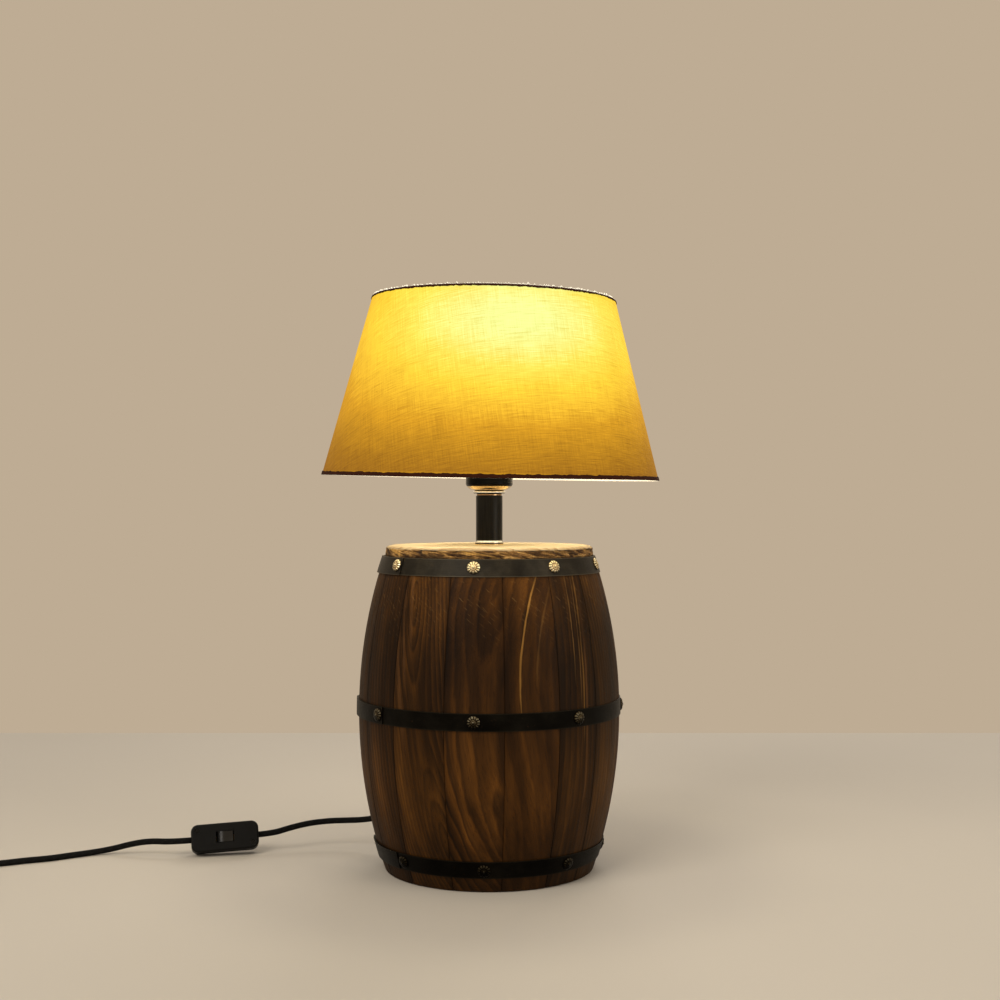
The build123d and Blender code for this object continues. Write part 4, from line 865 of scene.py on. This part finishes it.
def nail_metal(name, level):
    """Aged brass-silver, bright on raised parts and dark in crevices, with painted shade below, all scaled
    by a painted light level.
    """
    s = Shader(name)
    tarnish = s.noise(s.place, 700.0, 4.0, 0.6)
    value = s.attribute("relief", "Fac") + (tarnish - 0.5) * 0.5
    tone = s.ramp(value, [
        (0.2, (14, 10, 6)),
        (0.42, (82, 60, 32)),
        (0.62, (196, 164, 108)),
        (0.85, (250, 232, 190)),
    ])
    # Painted light and shade: darker where the head faces down, lighter where it faces up, scaled by the
    # hoop's level.
    tone = s.dimmed_by(tone, (s.parts(s.normal)[2], -0.22, 0.22, 0.07 * level, 1.2 * level))
    return s.finish(
        Base_Color=tone,
        Roughness=s.span(value, 0.1, 0.8, 0.65, 0.3),
        Metallic=0.75,
        Normal=s.bump(tarnish, 0.06 * MM),
        Specular_IOR_Level=0.3 * level,
    )


def floret_height(share, angle):
    """Height of a nail's head in millimetres, and how far it stands above its crevices."""
    petals = 12
    boss = 0.2
    eye = 0.5
    dome = 0.25 + 1.75 * (1 - share**2)
    if share < boss:
        lift = 0.6 * sqrt(1 - (share / (boss + 0.02)) ** 2)
        return dome + lift, 0.55 + 0.7 * lift
    if share < eye:
        ripple = 0.8 + 0.2 * cos(petals * angle)
        swell = sin(pi * (share - boss) / (eye - boss)) ** 0.5 * ripple
        return dome + 0.28 * swell, 0.15 + 0.75 * swell
    along = (share - eye) / (1 - eye)
    petal = ease(abs(cos(petals * angle / 2)) ** 0.6 * 1.7 - 0.4)
    swell = sin(pi * (0.05 + 0.8 * along)) ** 0.5 * petal
    return dome + 0.5 * swell, swell


def build_nails(place, height, angles, material):
    """All the nails of a hoop: embossed round heads with a skirt that meets the steel."""
    rings = 22
    spokes = 96
    turns = [2 * pi * spoke / spokes for spoke in range(spokes)]
    points = []
    faces = []
    reliefs = []
    for number, angle in enumerate(angles):
        on_lap = lap_end_angle - lap_angle < angle < lap_end_angle
        lift = hoop_gap + hoop_thickness * (2 if on_lap else 1)
        slope = (height - belly_height) / bulge_radius
        azimuth = angle - 90
        normal = (direction(azimuth) * sqrt(1 - slope**2) + Vector((0, 0, slope))).normalized()
        foot = direction(azimuth) * barrel_radius(height) + Vector((0, 0, height)) + normal * lift
        right = Vector((0, 0, 1)).cross(normal).normalized()
        upward = normal.cross(right)
        spin = number * 0.37 + height * 40
        levels = [right * cos(turn + spin) + upward * sin(turn + spin) for turn in turns]
        first = len(points)
        points.append(foot + normal * (floret_height(0.0, 0.0)[0] * MM))
        reliefs.append(1.0)
        for ring in range(1, rings + 1):
            share = ring / rings
            for turn, level in zip(turns, levels):
                rise, relief = floret_height(share, turn)
                points.append(foot + level * (nail_radius * share) + normal * (rise * MM))
                reliefs.append(relief)
        for level in levels:
            points.append(foot + level * nail_radius - normal * (0.02 * MM))
            reliefs.append(0.1)
        for spoke in range(spokes):
            faces.append((first, first + 1 + spoke, first + 1 + (spoke + 1) % spokes))
        faces += ring_faces(rings + 1, spokes, first + 1)
        last = first + 1 + rings * spokes
        faces.append(tuple(reversed(range(last, last + spokes))))
    name = f"nail_heads_{place}"
    piece = make_piece(name, points, faces, material, [f"hoop_nails_{place}"])
    keep_values(piece, "relief", reliefs)


# Painted light and shade: how bright each hoop's steel and its nails are painted, lit on the top hoop and
# shaded on the lower ones
hoop_painted_light_levels = {"top": 0.62, "middle": 0.12, "bottom": 0.1}
nail_painted_light_levels = {"top": 1.0, "middle": 0.1, "bottom": 0.03}
for place, (height, angles) in hoops.items():
    dress(f"hoop_{place}", hoop_steel(f"hoop_steel_{place}", height, hoop_painted_light_levels[place]))
    build_nails(place, height, angles, nail_metal(f"nail_florets_{place}", nail_painted_light_levels[place]))


# Neck and lampholder


def turned_chrome(name, bands, rough):
    """Turned, polished and darkened chrome, with faint upright streaks. Its tint changes with the height:
    painted reflections and highlights.

    Each band is the height in metres at which a tint starts, and the tint.
    """
    s = Shader(name)
    x, y, z = s.parts(s.place)
    sheet = s.combine(s.math("ARCTAN2", y, x) * (12 * MM), 0.0, z * 0.04)
    streaks = s.noise(sheet, 900.0, 3.0, 0.6)
    smudges = s.noise(s.place, 70.0, 3.0, 0.6)
    blur = 0.15 * MM
    tone = bands[0][1]
    for start, tint in bands[1:]:
        tone = s.tinted(tone, tint, z, start - blur, start + blur)
    tone = s.dimmed_by(tone, (streaks, 0.3, 0.7, 0.75, 1.2))
    gloss = s.span(streaks + smudges, 0.7, 1.3, rough[0], rough[1])
    return s.finish(Base_Color=tone, Roughness=gloss, Metallic=1.0, Normal=s.bump(streaks, 0.02 * MM))


black_chrome = (40, 39, 37)
# Painted reflections and highlights on the chrome, in bands by height: the lit board in warm tints, the
# room in dark ones, highlights in white
painted_dark_reflection = (24, 23, 22)
painted_white_highlight = (236, 235, 232)
painted_board_reflection = (250, 224, 178)
collar_painted_reflections = [
    (0.0, painted_board_reflection),
    (board_top + 1.0 * MM, painted_dark_reflection),
    (board_top + 2.0 * MM, painted_white_highlight),
    (board_top + 3.8 * MM, black_chrome),
]
# The ring: a painted pale brown reflection of the board, a painted dark line, then a painted white
# highlight
ring_painted_reflections = [
    (0.0, painted_dark_reflection),
    (ring_band_foot - 1.5 * MM, (214, 176, 130)),
    (ring_band_foot - 0.8 * MM, (14, 13, 12)),
    (ring_band_foot + 0.6 * MM, painted_white_highlight),
    (ring_band_foot + 2.5 * MM, painted_dark_reflection),
]
cup_painted_reflections = [(0.0, painted_board_reflection), (cup_foot + 3.2 * MM, (22, 22, 22))]
for node, bands, rough in (
    ("neck_tube", [(0.0, black_chrome)], (0.3, 0.42)),
    ("neck_collar", collar_painted_reflections, (0.1, 0.2)),
    ("neck_ring", ring_painted_reflections, (0.1, 0.2)),
    ("holder_cup", cup_painted_reflections, (0.12, 0.24)),
):
    dress(node, turned_chrome(f"{node}_chrome", bands, rough))

# Plastics, metals, ceramic, felt and plain wood
dress_plain(["holder_shell", "shade_clamp_ring"], "holder_plastic", (22, 22, 23), (34, 34, 35),
            (0.22, 0.36), bump=0.03)
dress_plain(["switch_back", "switch_cover"], "switch_plastic", (6, 6, 5), (11, 11, 9),
            (0.4, 0.55), scale=130, bump=0.06, Specular_IOR_Level=0.16)
dress_plain(["switch_rocker"], "rocker_plastic", (7, 7, 6), (13, 13, 11),
            (0.12, 0.24), scale=130, bump=0.02, Specular_IOR_Level=0.5)
dress_plain(["cord_gland", "gland_nut", "plug_body"], "cord_plastic", (10, 10, 10), (19, 19, 18),
            (0.42, 0.6), scale=160, bump=0.06, Specular_IOR_Level=0.35)
dress_plain(["switch_screws"], "blackened_steel", (20, 20, 19), (40, 39, 37),
            (0.3, 0.45), 0.9, 300, bump=0.04)
dress_plain(["threaded_rod", "rod_nut", "rod_washer"], "plated_steel", (160, 160, 156), (196, 195, 190),
            (0.24, 0.42), 1.0, 220, bump=0.04)
dress_plain(["plug_pins"], "pin_metal", (186, 182, 172), (214, 210, 200),
            (0.18, 0.32), 1.0, 300, (1, 0.2, 1), 0.03)
dress_plain(["holder_contacts", "switch_contacts"], "contact_brass", (176, 136, 66), (206, 168, 92),
            (0.26, 0.42), 1.0, 240, bump=0.04)
dress_plain(["holder_insert", "bulb_foot_contact"], "holder_insulator", (206, 200, 186), (224, 219, 207),
            (0.5, 0.7), scale=140, bump=0.08)
dress_plain(["bulb_cap"], "cap_metal", (178, 176, 168), (208, 206, 200),
            (0.26, 0.44), 1.0, 180, (1, 1, 3))
dress_plain(["shade_fitter", "shade_bottom_wire", "shade_top_wire"], "frame_wire_enamel",
            (214, 211, 200), (234, 232, 223), (0.25, 0.4), scale=120)
dress_plain(["base_felt"], "base_felt_pile", (20, 20, 20), (40, 40, 40),
            (0.9, 1.0), scale=900, bump=0.5, fine=2600, Sheen_Weight=0.4)
dress_plain(["bottom_board"], "bottom_board_wood", (150, 112, 68), (186, 146, 96),
            (0.6, 0.75), 0.0, 60, (0.12, 3, 3), 0.2)


# Bulb: opal glass that glows
def glowing_glass():
    s = Shader("opal_glass_lit")
    mottle = s.noise(s.place, 55.0, 3.0, 0.5)
    body = s.span(s.parts(s.place)[2], 380 * MM, 450 * MM, 0.3, 1.0)
    glow = s.ramp(body * s.span(mottle, 0.3, 0.7, 0.9, 1.0), [
        (0.0, (190, 132, 70)),
        (0.5, (246, 204, 138)),
        (0.8, (252, 228, 178)),
        (1.0, (253, 238, 206)),
    ])
    return s.finish(
        Base_Color=(112, 108, 98),
        Roughness=s.span(mottle, 0.3, 0.7, 0.16, 0.26),
        Emission_Color=glow,
        Emission_Strength=0.95,
        Coat_Weight=0.3,
    )


dress("bulb_glass", glowing_glass())
nodes["bulb_glass"].visible_shadow = False


# Shade: its own frame leans a little with it
shade_axis = direction(shade_lean_azimuth, 90 - shade_lean)
shade_x = direction(90 + shade_lean_azimuth).cross(shade_axis).normalized()
shade_y = shade_axis.cross(shade_x)
shade_taper = (shade_bottom_radius - shade_top_radius) / shade_height
half_angle_sine = shade_taper / sqrt(1 + shade_taper**2)
level_thread_angle = 33.0
level_thread_azimuth = level_thread_angle - 90.0 - shade_lean_azimuth
# Centre of the painted glow on the shade and its lining, off the axis towards the front and a little to the
# right
painted_glow_centre = Vector((10, -38, 455)) * MM


def shade_point(azimuth, radius, height):
    """Point of the shade at an azimuth, a distance from its axis and a height above its foot."""
    level = shade_x * cos(radians(azimuth)) + shade_y * sin(radians(azimuth))
    return shade_foot + level * radius + shade_axis * height


def shade_radius(height):
    """Outer radius of the cloth at a height above the shade's foot."""
    return shade_bottom_radius - shade_taper * height


def unrolled(azimuth, height):
    """Where a point of the cloth lies on the flat cloth, in metres from the cone's tip."""
    slant = shade_radius(height) / half_angle_sine
    spread = radians((azimuth - level_thread_azimuth + 180) % 360 - 180) * half_angle_sine
    return slant * sin(spread), slant * cos(spread)


def build_cone(name, inset, low, high, material, node, thickness):
    """One layer of the shade, from a seam at the back round to it again, with its flat coordinates."""
    columns = 360
    rows = 60
    seam = level_thread_azimuth + 180
    seam_gap = 0.002
    points = []
    places = []
    for row in range(rows + 1):
        height = low + (high - low) * row / rows
        for column in range(columns + 1):
            turn = 360 * column / columns
            azimuth = seam + min(max(turn, seam_gap), 360 - seam_gap)
            across, slant = unrolled(azimuth, height)
            edge = min(turn, 360 - turn)
            points.append(shade_point(azimuth, shade_radius(height) - inset, height))
            places.append((across, slant, radians(edge) * shade_radius(height)))
    faces = []
    for row in range(rows):
        for column in range(columns):
            low_left = row * (columns + 1) + column
            high_left = low_left + columns + 1
            faces.append((low_left, low_left + 1, high_left + 1, high_left))
    piece = make_piece(name, points, faces, material, [node])
    keep_vectors(piece, "cut", places)
    layer = piece.modifiers.new("layer", "SOLIDIFY")
    layer.thickness = thickness
    layer.offset = -1
    return piece


def painted_glow_share(s):
    """How strongly the painted glow of the bulb lights the shade at a point, from 0 to 1 at the brightest
    place.
    """
    nearest = 79 * MM
    from_lamp = s.vector("SUBTRACT", s.place, tuple(painted_glow_centre))
    square = s.vector("DOT_PRODUCT", from_lamp, from_lamp, "Value")
    facing = abs(s.vector("DOT_PRODUCT", from_lamp, s.normal, "Value")) / s.math("SQRT", square)
    return nearest**2 / square * facing


def cloth_material():
    """Slub-woven cloth with a painted glow of the light from inside. Its threads run straight on the flat
    cloth, not round the cone.
    """
    s = Shader("shade_cloth_weave")
    across, slant, seam = s.parts(s.attribute("cut"))
    flat = s.combine(across, slant, 0.0)
    weft = s.stretched_noise(flat, (70, 1900, 1), 3.0, 0.6)
    slubs = s.stretched_noise(flat, (30, 1000, 1), 3.0, 0.6)
    long_lines = s.stretched_noise(flat, (7, 1100, 1))
    warp = s.stretched_noise(flat, (1700, 40, 1), 3.0, 0.6)
    warp_bands = s.stretched_noise(flat, (620, 16, 1))
    nubs = s.stretched_noise(flat, (360, 1100, 1), 3.0, 0.6)
    cloudy = s.noise(flat, 30.0, 3.0, 0.5)
    through = s.span(weft, 0.3, 0.7, 0.93, 1.07)
    for pattern, low, high, at_low, at_high in (
        (warp, 0.3, 0.7, 0.95, 1.05),
        (warp_bands, 0.3, 0.7, 0.985, 1.015),
        (slubs, 0.56, 0.68, 1.0, 0.91),
        (slubs, 0.44, 0.34, 1.0, 1.04),
        (long_lines, 0.62, 0.7, 1.0, 0.94),
        (cloudy, 0.3, 0.7, 0.975, 1.025),
        (nubs, 0.66, 0.74, 1.0, 0.82),
        (seam, 3.6 * MM, 4.2 * MM, 0.87, 1.0),
    ):
        through = through * s.span(pattern, low, high, at_low, at_high)
    glow = s.ramp(s.math("POWER", painted_glow_share(s), 0.85) * through, [
        (0.0, (74, 42, 3)),
        (0.15, (106, 66, 4)),
        (0.22, (152, 106, 10)),
        (0.33, (198, 144, 22)),
        (0.42, (228, 180, 40)),
        (0.55, (242, 206, 54)),
        (0.71, (244, 226, 86)),
        (0.95, (230, 248, 154)),
    ])
    return s.finish(
        Base_Color=s.mix(s.span(through, 0.85, 1.1), (106, 68, 14), (140, 98, 24)),
        Roughness=0.85,
        Normal=s.bump(weft + slubs * 0.7, 0.35 * MM),
        Specular_IOR_Level=0.2,
        Emission_Color=s.dimmed(glow, s.math("POWER", through, 1.3)),
        Emission_Strength=1.0,
    )


def lining_material():
    """Smooth white lining with a painted glow of the bulb's light."""
    s = Shader("shade_lining_lit")
    across, slant = s.parts(s.attribute("cut"))[:2]
    mottle = s.noise(s.combine(across, slant, 0.0), 34.0, 3.0, 0.5)
    glow = s.ramp(painted_glow_share(s) * s.span(mottle, 0.3, 0.7, 0.92, 1.04), [
        (0.0, (214, 188, 142)),
        (0.25, (246, 226, 184)),
        (0.6, (252, 238, 204)),
        (1.0, (255, 246, 220)),
    ])
    return s.finish(
        Base_Color=(184, 176, 156),
        Roughness=s.span(mottle, 0.3, 0.7, 0.45, 0.6),
        Emission_Color=glow,
        Emission_Strength=0.4,
    )


cloth_thickness = 0.8 * MM
lining_inset = 0.9 * MM
lining_thickness = 0.5 * MM
cloth_edge = 0.7 * MM
cloth_top = shade_height - cloth_edge
cloth = build_cone("shade_cloth_layer", 0.0, cloth_edge, cloth_top, cloth_material(), "shade_cloth",
                   cloth_thickness)
build_cone("shade_lining_layer", lining_inset, cloth_edge, cloth_top, lining_material(), "shade_lining",
           lining_thickness)


def build_binding(rim, edge, inward, reach, fray, material):
    """A tape folded over a rim of the shade, with a wavering edge. White threads can fray past its fold.

    The rim's edge is a height above the shade's foot. The shade lies inward of it, 1 up or -1 down.
    The reach and the fray are in millimetres. The bottom tape hangs a little lower in front.
    """
    columns = 1080
    front_dip = 1.6 * MM if inward > 0 else 0.0
    tape = 0.6 * MM
    clear = 0.06 * MM
    inner_face = 1.5 * MM
    points = []
    insides = []
    for column in range(columns):
        azimuth = 360 * column / columns
        waver = ring_noise(azimuth, 30.0, 5.5 if inward > 0 else 8.5, 4)
        swell = ring_noise(azimuth, 60.0, 2.5 if inward > 0 else 6.5, 3)
        tuft = max(0.0, ring_noise(azimuth, 95.0, 4.4, 3) * 1.4 + 0.35)
        outer_leg = (reach + 0.6 * waver) * MM
        dip = front_dip * max(0.0, -sin(radians(azimuth))) ** 2
        inner_leg = (2.0 + 0.3 * swell) * MM + dip
        thick = tape * (1 + 0.16 * swell)
        crest = -fray * tuft * MM
        section = [
            (clear, outer_leg, 0),
            (clear + thick * 0.75, outer_leg - 0.02 * MM, 0),
            (clear + thick, outer_leg - 0.35 * MM, 0),
            (clear + thick * (1.0 + 0.1 * waver), outer_leg * 0.5, 0),
            (clear + thick, 0.55 * MM, 0),
            (clear + thick * 0.7, 0.15 * MM, 0),
            (clear, 0.0, 0),
            (-0.1 * MM, crest * 0.9, 1),
            (-0.8 * MM, crest, 1),
            (-inner_face, 0.0, 1),
            (-inner_face - thick * 0.7, 0.15 * MM, 1),
            (-inner_face - thick, 0.55 * MM, 1),
            (-inner_face - thick, inner_leg - 0.3 * MM, 1),
            (-inner_face - thick * 0.6, inner_leg, 1),
            (-inner_face, inner_leg, 1),
            (-inner_face, 0.62 * MM, 1),
            (clear, 0.62 * MM, 0),
        ]
        for off, rise, inside in section:
            height = edge + inward * rise - dip
            points.append(shade_point(azimuth, shade_radius(height) + off, height))
            insides.append(inside)
    per_ring = len(section)
    faces = ring_faces(columns, per_ring, closed=True)
    if inward > 0:
        faces = [tuple(reversed(face)) for face in faces]
    name = f"shade_{rim}_tape"
    piece = make_piece(name, points, faces, material, [f"shade_{rim}_binding"])
    keep_values(piece, "inside", insides)
    return piece


tape_weave = woven_band("shade_tape_weave", (34, 11, 2), (74, 31, 7), 0.9 * MM, (255, 240, 210))
bottom_tape = build_binding("bottom", 0.0, 1, 3.3, 0.0, tape_weave)
top_tape = build_binding("top", shade_height, -1, 1.8, 1.3, tape_weave)


# Stage: a pale table top with a beige room behind, and soft light
def table_material():
    s = Shader("table_pale")
    faint = s.noise(s.place, 3.0, 2.0, 0.5)
    return s.finish(
        Base_Color=s.dimmed_by((206, 194, 176), (faint, 0.3, 0.7, 0.985, 1.01)),
        Roughness=0.75,
        Specular_IOR_Level=0.2,
    )


table_side = 2.2
table_back = 0.744
table_corners = [(x, y, 0) for x in (-table_side, table_side) for y in (-table_side, table_back)]
table_mesh = bpy.data.meshes.new("table_top")
table_mesh.from_pydata(table_corners, [], [(0, 2, 3, 1)])
table_mesh.materials.append(table_material())
table = placed("table_top", table_mesh)

world = bpy.data.worlds.new("room")
scene.world = world

# The room looks beige, also in glossy and clear things, and lights the lamp a little
room = NodeTree(world)
rays = room.node("ShaderNodeLightPath").outputs
seen = Value(room, rays["Is Camera Ray"])
for kind in ("Is Glossy Ray", "Is Transmission Ray"):
    seen = room.math("MAXIMUM", seen, Value(room, rays[kind]))
soft = room.value("ShaderNodeBackground", {"Color": (1.0, 0.97, 0.93, 1.0), "Strength": 0.42})
beige = room.value("ShaderNodeBackground", {"Color": rgb(190, 172, 148), "Strength": 1.0})
both = room.value("ShaderNodeMixShader", (seen, soft, beige))
room.node("ShaderNodeOutputWorld", {"Surface": both})


def add_lamp(name, kind, place, power, tint):
    data = bpy.data.lights.new(name, kind)
    data.energy = power
    data.color = tint
    return placed(name, data, place)


def add_soft_lamp(name, place, target_height, size, power, tint):
    """A rectangular lamp that faces a point of the lamp's axis."""
    lamp = add_lamp(name, "AREA", place, power, tint)
    lamp.data.shape = "RECTANGLE"
    lamp.data.size, lamp.data.size_y = size
    facing = Vector((0, 0, target_height)) - Vector(place)
    lamp.rotation_euler = facing.to_track_quat("-Z", "Y").to_euler()


add_soft_lamp("key", (-1.2, -1.7, 1.9), 0.2, (1.4, 1.4), 30, (1.0, 0.97, 0.92))
add_soft_lamp("fill", (1.9, -1.2, 1.0), 0.2, (1.2, 1.6), 13, (1.0, 0.96, 0.9))
add_soft_lamp("back", (0.6, 2.0, 1.8), 0.3, (1.6, 1.0), 16, (1.0, 0.97, 0.94))
bulb_light = add_lamp("bulb_light", "POINT", (0, 0, bulb_height), 1.3, (1.0, 0.93, 0.72))
bulb_light.data.shadow_soft_size = 28 * MM
